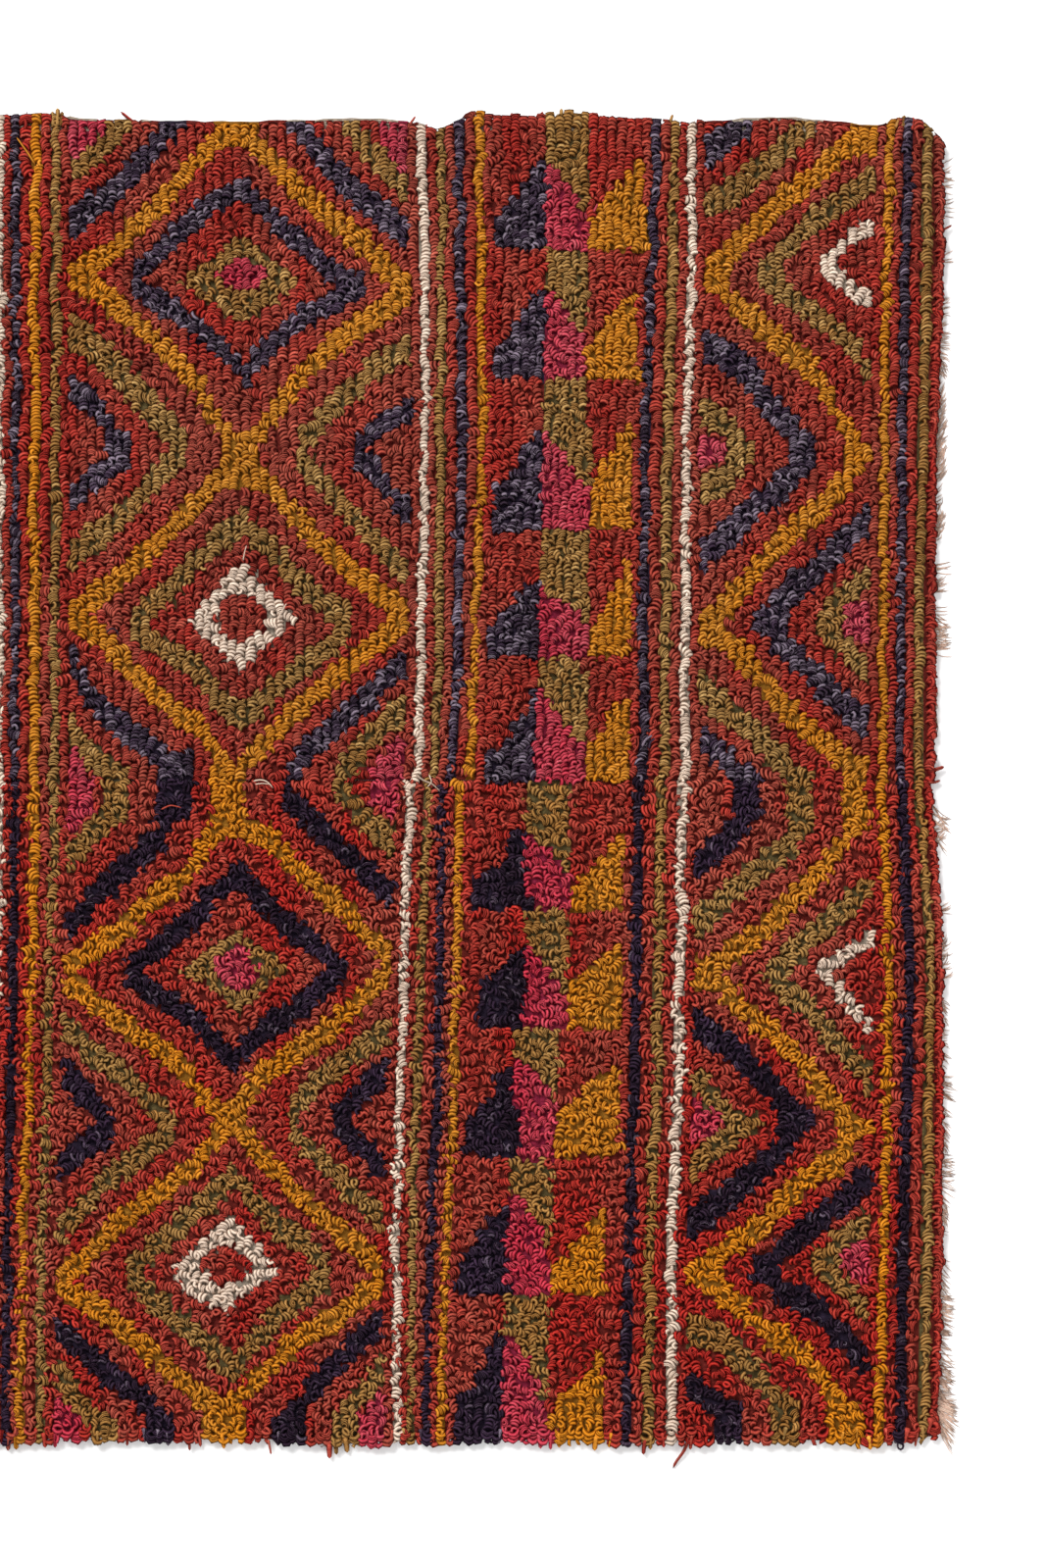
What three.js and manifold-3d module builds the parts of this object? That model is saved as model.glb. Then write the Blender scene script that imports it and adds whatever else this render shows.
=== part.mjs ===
// A tulu rug of two hand-woven panels, sewn side by side along a straight seam.
// Millimetres. X runs along the warp, Y across the two panels and Z up. The rug lies flat on z = 0.
// Each panel is a lumpy slab of looped pile on its ground weave, with locks of pile that droop over its rim.
// Cut warp ends come out from under the pile at both ends of each panel, as a short fringe on its own cord.

import * as THREE from 'three';
import { mergeVertices } from 'three/addons/utils/BufferGeometryUtils.js';
import Module from 'manifold-3d';

const wasm = await Module();
wasm.setup();

// Driving dimensions.
const rug = {
  halfLength: 680, // nominal reach of the pile from the middle, along the warp
  panelWidth: 635, // one loom width, from the seam to the outer edge
  thickness: 14.5, // ground weave and loops together
  seamGap: 0.3,
};

const rim = {
  outerShoulder: 6, // how far the pile bulges past the top's edge
  endShoulder: 6,
  seamShoulder: 3,
  outerTuck: 3, // how far the underside is drawn back from the bulge
  endTuck: 7, // the same at the ends, where the fringe lies under the pile
  shoulderDrop: 2.2,
  bellyHeight: 7,
  kneeHeight: 3.4,
  cornerShare: 0.55, // corners bulge less, so they read as rounded
};

const lumps = { along: 46, across: 21, height: 1.5 };

// Locks of pile that droop over the rim: along the two long edges, and at the ends above the fringe.
const edgeLock = { count: 42, width: 12, height: 7.5, reach: 6, lift: 0, inset: 22, stray: 5, tipShare: 0.55 };
const endLock = { count: 9, width: 17, height: 6.5, reach: 2.5, lift: 4.2, inset: 20, stray: 6, tipShare: 0.6 };
const lockForm = { root: 5, swell: 0.45, topShare: 0.8, reachSpread: 0.3, widthSpread: 0.15, sway: 2 };

const cord = { width: 4.5, height: 2.4, gap: 0.3, inset: 5, shortest: 1 };

// The cut warp ends. Their lean is in radians, towards the rug's lower edge.
const strand = { count: 34, width: 2.8, height: 2.2, reach: 17, reachSpread: 0.28, inset: 14, stray: 2.5 };
const strandLean = { middle: 0.6, spread: 0.22 };

// Sections down a warp end: how far along it, how much of its lean it has there, and its share of the width.
const strandSections = [
  { along: 0, turn: 0.2, share: 1 },
  { along: 0.45, turn: 0.8, share: 0.9 },
  { along: 1, turn: 1, share: 0.5 },
];

const colours = { pile: 0x9e3a2c, warp: 0xb59a86 };

// How far the pile of each end stands from its nominal reach, for distances across the panel from the seam.
const endReach = [
  { across: 0, rightUpper: -12, rightLower: -12, leftUpper: -7, leftLower: -3 },
  { across: 80, rightUpper: -8, rightLower: -6, leftUpper: -4, leftLower: 0 },
  { across: 180, rightUpper: -7, rightLower: 0, leftUpper: -1, leftLower: -2 },
  { across: 300, rightUpper: -6, rightLower: -2, leftUpper: -3, leftLower: 1 },
  { across: 420, rightUpper: -3, rightLower: 0, leftUpper: 0, leftLower: -1 },
  { across: 540, rightUpper: 1, rightLower: -1, leftUpper: 0, leftLower: -2 },
  { across: 635, rightUpper: -3, rightLower: -7, leftUpper: -4, leftLower: -5 },
];

// How far the two long edges stand from the nominal panel width, for places along the warp.
const edgeReach = [
  { along: -680, upper: -3, lower: -2 },
  { along: -480, upper: 1, lower: 1 },
  { along: -225, upper: 1, lower: 0 },
  { along: -130, upper: -2, lower: -2 },
  { along: 0, upper: -3, lower: -1 },
  { along: 130, upper: 0, lower: 2 },
  { along: 195, upper: -7, lower: 0 },
  { along: 230, upper: 2, lower: 0 },
  { along: 400, upper: 0, lower: 1 },
  { along: 434, upper: -6, lower: 1 },
  { along: 520, upper: 1, lower: 0 },
  { along: 616, upper: -6, lower: 2 },
  { along: 650, upper: -3, lower: -1 },
  { along: 680, upper: -6, lower: -5 },
];

// Reads a table at a place between its rows, with a smooth step from row to row.
function tableAt(table, key, name, place) {
  const last = table.length - 1;
  if (place <= table[0][key]) return table[0][name];
  if (place >= table[last][key]) return table[last][name];
  const next = table.findIndex((row) => row[key] > place);
  const before = table[next - 1];
  const after = table[next];
  const share = (place - before[key]) / (after[key] - before[key]);
  return THREE.MathUtils.lerp(before[name], after[name], THREE.MathUtils.smoothstep(share, 0, 1));
}

// A repeatable number from 0 to 1 for a place in a pattern.
function scatter(a, b, c = 0) {
  const wave = Math.sin(a * 127.1 + b * 311.7 + c * 74.7) * 43758.5453;
  return wave - Math.floor(wave);
}

function spread(a, b, c) {
  return 2 * scatter(a, b, c) - 1;
}

// The pile's reach at one end of one panel, at a distance from the seam. Side 1 is +X, row 1 the upper panel.
function endAt(side, row, across) {
  const name = (side > 0 ? 'right' : 'left') + (row > 0 ? 'Upper' : 'Lower');
  return side * (rug.halfLength + tableAt(endReach, 'across', name, across));
}

function outerAt(row, along) {
  return rug.panelWidth + tableAt(edgeReach, 'along', row > 0 ? 'upper' : 'lower', along);
}

function geometryOf(points, triangles) {
  const geometry = new THREE.BufferGeometry();
  geometry.setAttribute('position', new THREE.Float32BufferAttribute(points.flat(), 3));
  geometry.setIndex(triangles.flat());
  return geometry;
}

function solidOf(geometry) {
  const plain = new THREE.BufferGeometry();
  plain.setAttribute('position', geometry.getAttribute('position'));
  plain.setIndex(geometry.getIndex());
  const merged = mergeVertices(plain, 1e-4);
  const vertProperties = new Float32Array(merged.getAttribute('position').array);
  const triVerts = new Uint32Array(merged.getIndex().array);
  return new wasm.Manifold(new wasm.Mesh({ numProp: 3, vertProperties, triVerts }));
}

function geometryFrom(solid) {
  const mesh = solid.getMesh();
  const geometry = new THREE.BufferGeometry();
  geometry.setAttribute('position', new THREE.BufferAttribute(mesh.vertProperties, 3));
  geometry.setIndex(new THREE.BufferAttribute(mesh.triVerts, 1));
  geometry.computeVertexNormals();
  return geometry;
}

function joined(solids) {
  return solids.reduce((whole, piece) => whole.add(piece));
}

// Turns faces round where a piece is built for the lower panel, which mirrors the upper one's layout.
function facing(triangles, flip) {
  return flip ? triangles.map(([a, b, c]) => [a, c, b]) : triangles;
}

// A solid through like sections, each a closed ring of points, with a flat cap at both ends.
function lofted(rings, flip = false) {
  const sides = rings[0].length;
  const triangles = [];
  for (let r = 0; r < rings.length - 1; r++) {
    for (let k = 0; k < sides; k++) {
      const a = r * sides + k;
      const b = r * sides + ((k + 1) % sides);
      triangles.push([a, b, a + sides], [b, b + sides, a + sides]);
    }
  }
  const end = (rings.length - 1) * sides;
  for (let k = 1; k < sides - 1; k++) {
    triangles.push([0, k + 1, k], [end, end + k, end + k + 1]);
  }
  return geometryOf(rings.flat(), facing(triangles, flip));
}

// The height of the pile at a corner of the lump grid: full inside, a little lower along the rim.
function pileHeight(i, j, row) {
  const onRim = i === 0 || j === 0 || i === lumps.along || j === lumps.across;
  const lift = onRim ? -rim.shoulderDrop : 0;
  return rug.thickness - lumps.height + lift + lumps.height * spread(i, j, row);
}

// Where one corner of the lump grid lies. j = 0 is the seam and j = lumps.across the outer edge.
function gridPoint(i, j, row) {
  const share = j / lumps.across;
  const nearY = rug.seamGap / 2 + rim.seamShoulder;
  const widest = rug.panelWidth - rim.outerShoulder;
  const across = THREE.MathUtils.lerp(nearY, widest, share);
  const left = endAt(-1, row, across) + rim.endShoulder;
  const right = endAt(1, row, across) - rim.endShoulder;
  const x = THREE.MathUtils.lerp(left, right, i / lumps.along);
  const y = THREE.MathUtils.lerp(nearY, outerAt(row, x) - rim.outerShoulder, share);
  return { x, y };
}

// The corners round the grid, in order, with the way out of the slab at each.
function rimCorners() {
  const { along, across } = lumps;
  const corners = [];
  for (let i = 0; i < along; i++) corners.push({ i, j: 0 });
  for (let j = 0; j < across; j++) corners.push({ i: along, j });
  for (let i = along; i > 0; i--) corners.push({ i, j: across });
  for (let j = across; j > 0; j--) corners.push({ i: 0, j });
  return corners.map(({ i, j }) => {
    const outX = i === 0 ? -1 : i === along ? 1 : 0;
    const outY = j === 0 ? -1 : j === across ? 1 : 0;
    return { i, j, outX, outY };
  });
}

// How far a rim corner is moved out along X and Y for the belly (share 1) or the tucked underside (share 0).
function rimShift({ outX, outY }, tucked) {
  const outer = rim.outerShoulder - (tucked ? rim.outerTuck : 0);
  const seam = rim.seamShoulder;
  const end = rim.endShoulder - (tucked ? rim.endTuck : 0);
  const corner = outX !== 0 && outY !== 0 ? rim.cornerShare : 1;
  const endShare = end > 0 ? corner : 1;
  return {
    x: outX * end * endShare,
    y: outY < 0 ? -seam : outY * outer * (outY > 0 ? corner : 1),
  };
}

// One panel's slab: the lumpy top, three rings down its rim and a flat underside.
function slab(row) {
  const { along, across } = lumps;
  const points = [];
  const triangles = [];
  const at = (i, j) => i * (across + 1) + j;
  for (let i = 0; i <= along; i++) {
    for (let j = 0; j <= across; j++) {
      const { x, y } = gridPoint(i, j, row);
      points.push([x, row * y, pileHeight(i, j, row)]);
    }
  }
  for (let i = 0; i < along; i++) {
    for (let j = 0; j < across; j++) {
      const [a, b, c, d] = [at(i, j), at(i + 1, j), at(i + 1, j + 1), at(i, j + 1)];
      if ((i + j) % 2) triangles.push([a, b, c], [a, c, d]);
      else triangles.push([a, b, d], [b, c, d]);
    }
  }
  const corners = rimCorners();
  const count = corners.length;
  let above = corners.map(({ i, j }) => at(i, j));
  const levels = [
    { z: rim.bellyHeight, tucked: false },
    { z: rim.kneeHeight, tucked: true },
    { z: 0, tucked: true },
  ];
  for (const { z, tucked } of levels) {
    const first = points.length;
    for (const corner of corners) {
      const { x, y } = gridPoint(corner.i, corner.j, row);
      const shift = rimShift(corner, tucked);
      points.push([x + shift.x, row * (y + shift.y), z]);
    }
    const below = corners.map((_, k) => first + k);
    for (let k = 0; k < count; k++) {
      const next = (k + 1) % count;
      triangles.push([above[k], below[k], below[next]], [above[k], below[next], above[next]]);
    }
    above = below;
  }
  const foot = above.map((k) => new THREE.Vector2(points[k][0], row * points[k][1]));
  for (const [a, b, c] of THREE.ShapeUtils.triangulateShape(foot, [])) {
    triangles.push([above[a], above[c], above[b]]);
  }
  return solidOf(geometryOf(points, facing(triangles, row < 0)));
}

// A lock of pile that leaves the rim at (x, y) and runs out along (outX, outY), narrowing to its tip.
function lock(shape, x, y, outX, outY, seed) {
  const reach = shape.reach * (1 + lockForm.reachSpread * spread(seed, 1));
  const width = shape.width * (1 + lockForm.widthSpread * spread(seed, 2));
  const sway = lockForm.sway * spread(seed, 3);
  const sections = [
    { out: -lockForm.root, drift: 0, share: lockForm.topShare },
    { out: reach * lockForm.swell, drift: sway / 2, share: 1 },
    { out: reach, drift: sway, share: shape.tipShare },
  ];
  const rings = sections.map(({ out, drift, share }) => {
    const half = (width / 2) * share;
    const top = shape.lift + shape.height * share;
    const cx = x + outX * out - outY * drift;
    const cy = y + outY * out + outX * drift;
    const side = (s, z) => [cx - outY * s, cy + outX * s, z];
    const narrow = half * lockForm.topShare;
    return [side(-half, shape.lift), side(half, shape.lift), side(narrow, top), side(-narrow, top)];
  });
  return solidOf(lofted(rings));
}

function outerLocks(row) {
  const span = 2 * (rug.halfLength - edgeLock.inset);
  return Array.from({ length: edgeLock.count }, (_, k) => {
    const even = (k + 0.5) / edgeLock.count - 0.5;
    const x = span * even + edgeLock.stray * spread(k, row, 5);
    return lock(edgeLock, x, row * (outerAt(row, x) - 1), 0, row, 10 * k + row);
  });
}

function endLocks(side, row) {
  const span = rug.panelWidth - 2 * endLock.inset;
  return Array.from({ length: endLock.count }, (_, k) => {
    const even = endLock.inset + (span * (k + 0.5)) / endLock.count;
    const across = even + endLock.stray * spread(k, side, row);
    const x = endAt(side, row, across) - side;
    return lock(endLock, x, row * across, side, 0, 7 * k + side + 3 * row);
  });
}

function panel(name, row) {
  const solid = joined([slab(row), ...outerLocks(row), ...endLocks(-1, row), ...endLocks(1, row)]);
  const material = new THREE.MeshStandardMaterial({ color: colours.pile, roughness: 0.95, metalness: 0 });
  const mesh = new THREE.Mesh(geometryFrom(solid), material);
  mesh.name = name;
  return mesh;
}

// Where the tucked underside of a panel's end lies along X, at a distance from the seam.
// It runs straight between the corners of the lump grid.
function tuckedEnd(side, row, across) {
  const i = side > 0 ? lumps.along : 0;
  const corners = Array.from({ length: lumps.across + 1 }, (_, j) => gridPoint(i, j, row));
  const next = THREE.MathUtils.clamp(corners.findIndex(({ y }) => y > across), 1, lumps.across);
  const [a, b] = [corners[next - 1], corners[next]];
  const x = THREE.MathUtils.mapLinear(across, a.y, b.y, a.x, b.x);
  return x + side * (rim.endShoulder - rim.endTuck);
}

// The cord that the warp ends come out of. It follows the tucked underside of the panel's end.
function selvedgeCord(side, row) {
  const first = cord.inset;
  const last = rug.panelWidth - rim.outerShoulder - cord.inset;
  const i = side > 0 ? lumps.along : 0;
  const corners = Array.from({ length: lumps.across + 1 }, (_, j) => gridPoint(i, j, row).y);
  const between = corners.filter((y) => y > first + cord.shortest && y < last - cord.shortest);
  const rings = [first, ...between, last].map((across) => {
    const near = tuckedEnd(side, row, across) + side * cord.gap;
    const far = near + side * cord.width;
    const y = row * across;
    return [
      [near, y, 0],
      [far, y, 0],
      [far, y, cord.height],
      [near, y, cord.height],
    ];
  });
  return solidOf(lofted(rings, side * row > 0));
}

// One cut warp end: three-sided, flat on the floor, bent a little and narrowing to its tip.
function warpEnd(side, row, k) {
  const span = rug.panelWidth - 2 * strand.inset;
  const across = strand.inset + (span * (k + 0.5)) / strand.count + strand.stray * spread(k, side, row + 9);
  const root = tuckedEnd(side, row, across) + side * (cord.gap + cord.width / 2);
  const reach = strand.reach * (1 + strand.reachSpread * spread(k, side + 4, row));
  const lean = strandLean.middle + strandLean.spread * spread(k, side + 6, row);
  const rings = strandSections.map(({ along, turn, share }) => {
    const angle = -lean * turn;
    const x = root + side * reach * along * Math.cos(angle);
    const y = row * across + reach * along * Math.sin(angle);
    const half = (strand.width / 2) * share;
    const dx = -Math.sin(angle) * half * side;
    const dy = Math.cos(angle) * half;
    return [
      [x - dx, y - dy, 0],
      [x + dx, y + dy, 0],
      [x, y, strand.height * share],
    ];
  });
  return solidOf(lofted(rings, side < 0));
}

function fringe(name, side, row) {
  const ends = Array.from({ length: strand.count }, (_, k) => warpEnd(side, row, k));
  const solid = joined([selvedgeCord(side, row), ...ends]);
  const material = new THREE.MeshStandardMaterial({ color: colours.warp, roughness: 0.9, metalness: 0 });
  const mesh = new THREE.Mesh(geometryFrom(solid), material);
  mesh.name = name;
  return mesh;
}

const pieces = new THREE.Group();
pieces.add(
  panel('panel_upper', 1),
  panel('panel_lower', -1),
  fringe('fringe_right_upper', 1, 1),
  fringe('fringe_right_lower', 1, -1),
  fringe('fringe_left_upper', -1, 1),
  fringe('fringe_left_lower', -1, -1),
);

// The origin is under the middle of the whole rug, on the floor.
const box = new THREE.Box3().setFromObject(pieces);
const middle = box.getCenter(new THREE.Vector3());
pieces.position.set(-middle.x, -middle.y, -box.min.z);

const part = new THREE.Group();
part.add(pieces);
export default part;
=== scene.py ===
# A tulu rug: two hand-woven wool panels with looped pile, sewn side by side, with short cut warp ends.
import math

import bpy
import numpy as np
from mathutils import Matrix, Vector


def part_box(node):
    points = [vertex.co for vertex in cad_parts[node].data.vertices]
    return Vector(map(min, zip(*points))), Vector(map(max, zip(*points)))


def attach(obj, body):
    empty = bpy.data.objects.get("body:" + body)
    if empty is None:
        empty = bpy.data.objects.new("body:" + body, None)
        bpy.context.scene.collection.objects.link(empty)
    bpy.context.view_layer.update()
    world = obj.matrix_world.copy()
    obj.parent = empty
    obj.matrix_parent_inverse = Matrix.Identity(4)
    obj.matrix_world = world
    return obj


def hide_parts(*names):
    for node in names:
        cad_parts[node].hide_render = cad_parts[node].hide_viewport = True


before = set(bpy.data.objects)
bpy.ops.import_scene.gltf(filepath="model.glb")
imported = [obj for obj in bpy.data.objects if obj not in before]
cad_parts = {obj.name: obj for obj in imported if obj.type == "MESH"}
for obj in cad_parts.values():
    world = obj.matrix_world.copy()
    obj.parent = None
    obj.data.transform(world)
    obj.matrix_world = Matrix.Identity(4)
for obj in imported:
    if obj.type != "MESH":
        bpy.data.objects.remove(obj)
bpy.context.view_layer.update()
mm = 0.001

# The rug's own axes: x from the middle of the diamond band, y from the seam, both in millimetres.
upperLow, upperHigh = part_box("panel_upper")
_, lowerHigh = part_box("panel_lower")
middleX = (upperLow.x + upperHigh.x) / 2 / mm
seamY = (upperLow.y + lowerHigh.y) / 2 / mm
pileTop = upperHigh.z / mm
panelWidth = 635  # of one loom width, from the seam to its long edge
rowPitch = 8.66  # from one knot row to the next
knotPitch = 4.17  # from one knot to the next along a row
sideOf = {"upper": 1, "lower": -1}  # which way a panel reaches from the seam

# Camera and light first, as in the photo: straight above, a little right of the diamonds.

cameraSetup = {
    "photoHeight": 1599,  # pixels
    "mmPerPixel": 0.9375,
    "middle": (275, -3.5),  # what the photo's centre shows
    "lens": 85,
    "sensor": 36,
    "clipEnd": 50,
}


def placeCamera():
    span = cameraSetup["photoHeight"] * cameraSetup["mmPerPixel"] * mm
    away = span * cameraSetup["lens"] / cameraSetup["sensor"]
    data = bpy.data.cameras.new("camera")
    data.lens = cameraSetup["lens"]
    data.sensor_width = cameraSetup["sensor"]
    data.sensor_fit = "AUTO"
    data.clip_end = cameraSetup["clipEnd"]
    camera = bpy.data.objects.new("camera", data)
    bpy.context.scene.collection.objects.link(camera)
    x, y = cameraSetup["middle"]
    camera.location = ((x + middleX) * mm, (y + seamY) * mm, pileTop * mm + away)
    bpy.context.scene.camera = camera


studio = {
    "keyPlace": (-4.2, 7.0, 7.7),
    "keySize": 5.0,
    "keyPower": 1520,
    "fillPlace": (2.4, -1.6, 2.6),
    "fillSize": 2.5,
    "fillPower": 30,
    "aim": (0.2, 0, 0),
    "skyStrength": 0.75,
    "floorColour": (0.9, 0.9, 0.9, 1),
    "floorRoughness": 0.9,
    "floorHalf": 6.0,
}


def placeLight(name, place, size, power):
    data = bpy.data.lights.new(name, "AREA")
    data.shape = "DISK"
    data.size = size
    data.energy = power
    lamp = bpy.data.objects.new(name, data)
    bpy.context.scene.collection.objects.link(lamp)
    lamp.location = place
    aim = Vector(studio["aim"]) - Vector(place)
    lamp.rotation_euler = aim.to_track_quat("-Z", "Y").to_euler()


def placeStudio():
    placeLight("keyLight", studio["keyPlace"], studio["keySize"], studio["keyPower"])
    placeLight("fillLight", studio["fillPlace"], studio["fillSize"], studio["fillPower"])
    world = bpy.data.worlds.new("sky")
    world.use_nodes = True
    background = world.node_tree.nodes["Background"]
    background.inputs["Color"].default_value = (1, 1, 1, 1)
    background.inputs["Strength"].default_value = studio["skyStrength"]
    bpy.context.scene.world = world
    half = studio["floorHalf"]
    mesh = bpy.data.meshes.new("floor")
    corners = [(-half, -half, 0), (half, -half, 0), (half, half, 0), (-half, half, 0)]
    mesh.from_pydata(corners, [], [(0, 1, 2, 3)])
    floor = bpy.data.objects.new("floor", mesh)
    bpy.context.scene.collection.objects.link(floor)
    paint = bpy.data.materials.new("palePaper")
    paint.use_nodes = True
    shader = paint.node_tree.nodes["Principled BSDF"]
    shader.inputs["Base Color"].default_value = studio["floorColour"]
    shader.inputs["Roughness"].default_value = studio["floorRoughness"]
    mesh.materials.append(paint)
    bpy.context.scene.view_settings.view_transform = "Standard"


placeCamera()
placeStudio()
print("camera and light placed")

# The weave. Knot rows run along y. Row 0 is in the middle of the diamonds, rows 77 and -77 are at the ends.
# Each guide row gives its x at the five stations of y, and the rows between are spread evenly.

lastRow = 77
stations = {"upper": (5, 165, 330, 480, 630), "lower": (-630, -450, -300, -150, -5)}
guideRows = [
    {"row": -77, "upper": (-666, -669, -671, -671, -672), "lower": (-668, -671, -672, -670, -664)},
    {"row": -76, "upper": (-656, -658, -660, -661, -663), "lower": (-657, -660, -661, -660, -653)},
    {"row": -72, "upper": (-620, -620, -622, -624, -629), "lower": (-617, -622, -626, -625, -618)},
    {"row": -50, "upper": (-431, -431, -432, -436, -437), "lower": (-434, -432, -429, -428, -428)},
    {"row": -46, "upper": (-390, -391, -393, -400, -404), "lower": (-396, -394, -391, -388, -387)},
    {"row": -26, "upper": (-226, -226, -225, -225, -225), "lower": (-240, -236, -232, -228, -226)},
    {"row": -24, "upper": (-211, -211, -211, -211, -211), "lower": (-220, -218, -215, -213, -211)},
    {"row": -22, "upper": (-193, -193, -192, -192, -190), "lower": (-207, -205, -198, -194, -193)},
    {"row": -20, "upper": (-173, -172, -172, -172, -172), "lower": (-187, -186, -181, -176, -173)},
    {"row": 0, "upper": (-3, -1, 0, 2, 0), "lower": (-11, -12, -10, -5, -3)},
    {"row": 20, "upper": (175, 178, 183, 181, 178), "lower": (155, 153, 158, 162, 168)},
    {"row": 22, "upper": (191, 195, 197, 197, 197), "lower": (167, 169, 173, 178, 185)},
    {"row": 24, "upper": (207, 214, 217, 216, 214), "lower": (184, 187, 194, 196, 196)},
    {"row": 26, "upper": (225, 231, 237, 236, 234), "lower": (196, 202, 209, 213, 215)},
    {"row": 46, "upper": (390, 391, 392, 399, 404), "lower": (374, 376, 382, 384, 387)},
    {"row": 48, "upper": (412, 413, 414, 418, 422), "lower": (395, 397, 404, 405, 408)},
    {"row": 50, "upper": (431, 431, 431, 437, 437), "lower": (418, 418, 424, 427, 428)},
    {"row": 72, "upper": (620, 620, 622, 623, 629), "lower": (616, 621, 625, 625, 618)},
    {"row": 74, "upper": (636, 637, 639, 640, 645), "lower": (637, 639, 643, 646, 637)},
    {"row": 76, "upper": (654, 654, 658, 661, 663), "lower": (659, 662, 664, 665, 653)},
    {"row": 77, "upper": (664.5, 664, 666.5, 672.5, 672), "lower": (667, 672, 672, 672, 661)},
]

# How far the two long edges stand from the nominal panel width, as pairs of x and reach.
edgeReach = {
    "upper": [(-684, -30), (-677, -17), (-667, -8), (-655, -2), (-560, 0), (-480, 1), (-434, -4),
              (-400, 0), (-225, 1.6), (-185, 4.4), (-130, -1.3), (-70, -2.2), (0, -3.1), (70, -1.3),
              (130, 0.6), (172, -4.1), (185, -8), (194, -10.6), (202, -8), (227, 3.4), (290, 0.6),
              (320, 4.4), (356, 1), (412, -1.3), (434, -6), (442, -2.2), (460, -2.2), (515, 1.6),
              (550, -0.3), (582, -3.7), (616, -6.9), (630, -1), (643, -0.3), (660, -3.1), (666, -9),
              (677, -20), (683, -34)],
    "lower": [(-680, -2), (-480, 1), (-225, 0), (-130, -2), (0, -1), (130, 2), (195, 0), (400, 1),
              (520, 0), (616, 2), (650, -1), (672, -4), (680, -8)],
}
bareStrips = [(-640, -480), (-165, -126), (-97, 173), (445, 628)]  # where the upper edge shows bare ground
bareWidth = 2.8
bareFade = 6  # over which a bare strip begins and ends

stripes = {  # rows that are one colour from edge to edge
    20: "ivory", 22: "olive", 24: "navy", 26: "gold",
    46: "navy", 48: "olive", 50: "ivory",
    72: "gold", 74: "navy", 76: "olive",
    -20: "olive", -22: "gold", -24: "navy", -26: "ivory",
    -46: "navy", -48: "olive", -50: "ivory",
    -72: "gold", -74: "navy", -76: "olive",
}
palette = ["red", "gold", "olive", "navy", "rose", "ivory"]
red, gold, olive, navy, rose, ivory = range(len(palette))


# The x of a row, whole or not, at a y.
def rowX(panel, row, y):
    rows = np.array([guide["row"] for guide in guideRows], float)
    lines = np.stack([np.interp(y, stations[panel], guide[panel]) for guide in guideRows])
    row = np.broadcast_to(np.asarray(row, float), np.shape(y))
    k = np.clip(np.searchsorted(rows, row, side="right") - 1, 0, len(rows) - 2)
    share = (row - rows[k]) / (rows[k + 1] - rows[k])
    index = np.arange(lines.shape[1])
    return lines[k, index] * (1 - share) + lines[k + 1, index] * share


def outerY(panel, x):
    places, reaches = zip(*edgeReach[panel])
    return panelWidth + np.interp(x, places, reaches)


# How much bare ground shows past the pile at the upper edge.
def bareAt(x):
    inside = [np.clip((x - start) / bareFade, 0, 1) * np.clip((end - x) / bareFade, 0, 1)
              for start, end in bareStrips]
    return bareWidth * np.max(inside, axis=0)


seeds = {  # one number for each thing that varies
    "chart": 3, "chartRow": 5, "chartMirror": 8, "ground": 7, "start": 11, "curl": 24, "lowCurl": 26,
    "lot": 61, "rowLot": 62, "patch": 63, "bundleTint": 64, "archTint": 65, "dye": 66, "bundleDye": 67,
    "bundleSize": 71, "tangle": 81, "turn": 82, "fan": 83, "spin": 84, "tangledSpin": 85, "curlSpin": 86,
    "bend": 87, "tangledBend": 88, "curlBend": 89, "radius": 90, "tangledRadius": 91, "curlRadius": 92,
    "bundleHeight": 93, "height": 94, "tangledHeight": 95, "wave": 96, "bundleX": 97, "tangledX": 98,
    "tangledY": 99, "width": 100, "rimMissing": 101, "rimBundle": 102, "rimArch": 103, "rimStretch": 104,
    "lean": 105, "bundleRadius": 106, "driftX": 107, "driftY": 108, "tangledTurn": 109, "cutBundle": 110,
    "ragged": 111, "raggedSpin": 112, "raggedStretch": 113, "cutArch": 114, "scallop": 115, "longCut": 116,
    "sidewaysSign": 117, "sideways": 118, "warpShare": 201, "warpStart": 202, "warpWidth": 203,
    "warpAngle": 204, "warpTint": 211, "warpDye": 212, "looseTint": 213, "looseDye": 214,
}


# A repeatable number from 0 to 1 for each set of keys.
def hashed(*keys):
    wave = sum(np.asarray(k, float) * f for k, f in zip(keys, (127.1, 311.7, 74.7, 53.3)))
    wave = np.sin(wave) * 43758.5453
    return wave - np.floor(wave)


# Smooth noise from -1 to 1, with features one unit wide.
def smoothNoise(x, y, seed):
    x, y = np.broadcast_arrays(np.asarray(x, float), np.asarray(y, float))
    ix, iy = np.floor(x), np.floor(y)
    fx, fy = x - ix, y - iy
    fx, fy = fx * fx * (3 - 2 * fx), fy * fy * (3 - 2 * fy)
    low = hashed(ix, iy, seed) * (1 - fx) + hashed(ix + 1, iy, seed) * fx
    high = hashed(ix, iy + 1, seed) * (1 - fx) + hashed(ix + 1, iy + 1, seed) * fx
    return 2 * (low * (1 - fy) + high * fy) - 1


# The chart in millimetres, from points read off. A shape is a colour with either half a thickness and
# one line, or a high and a low line, and every line is given by points from left to right.

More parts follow.
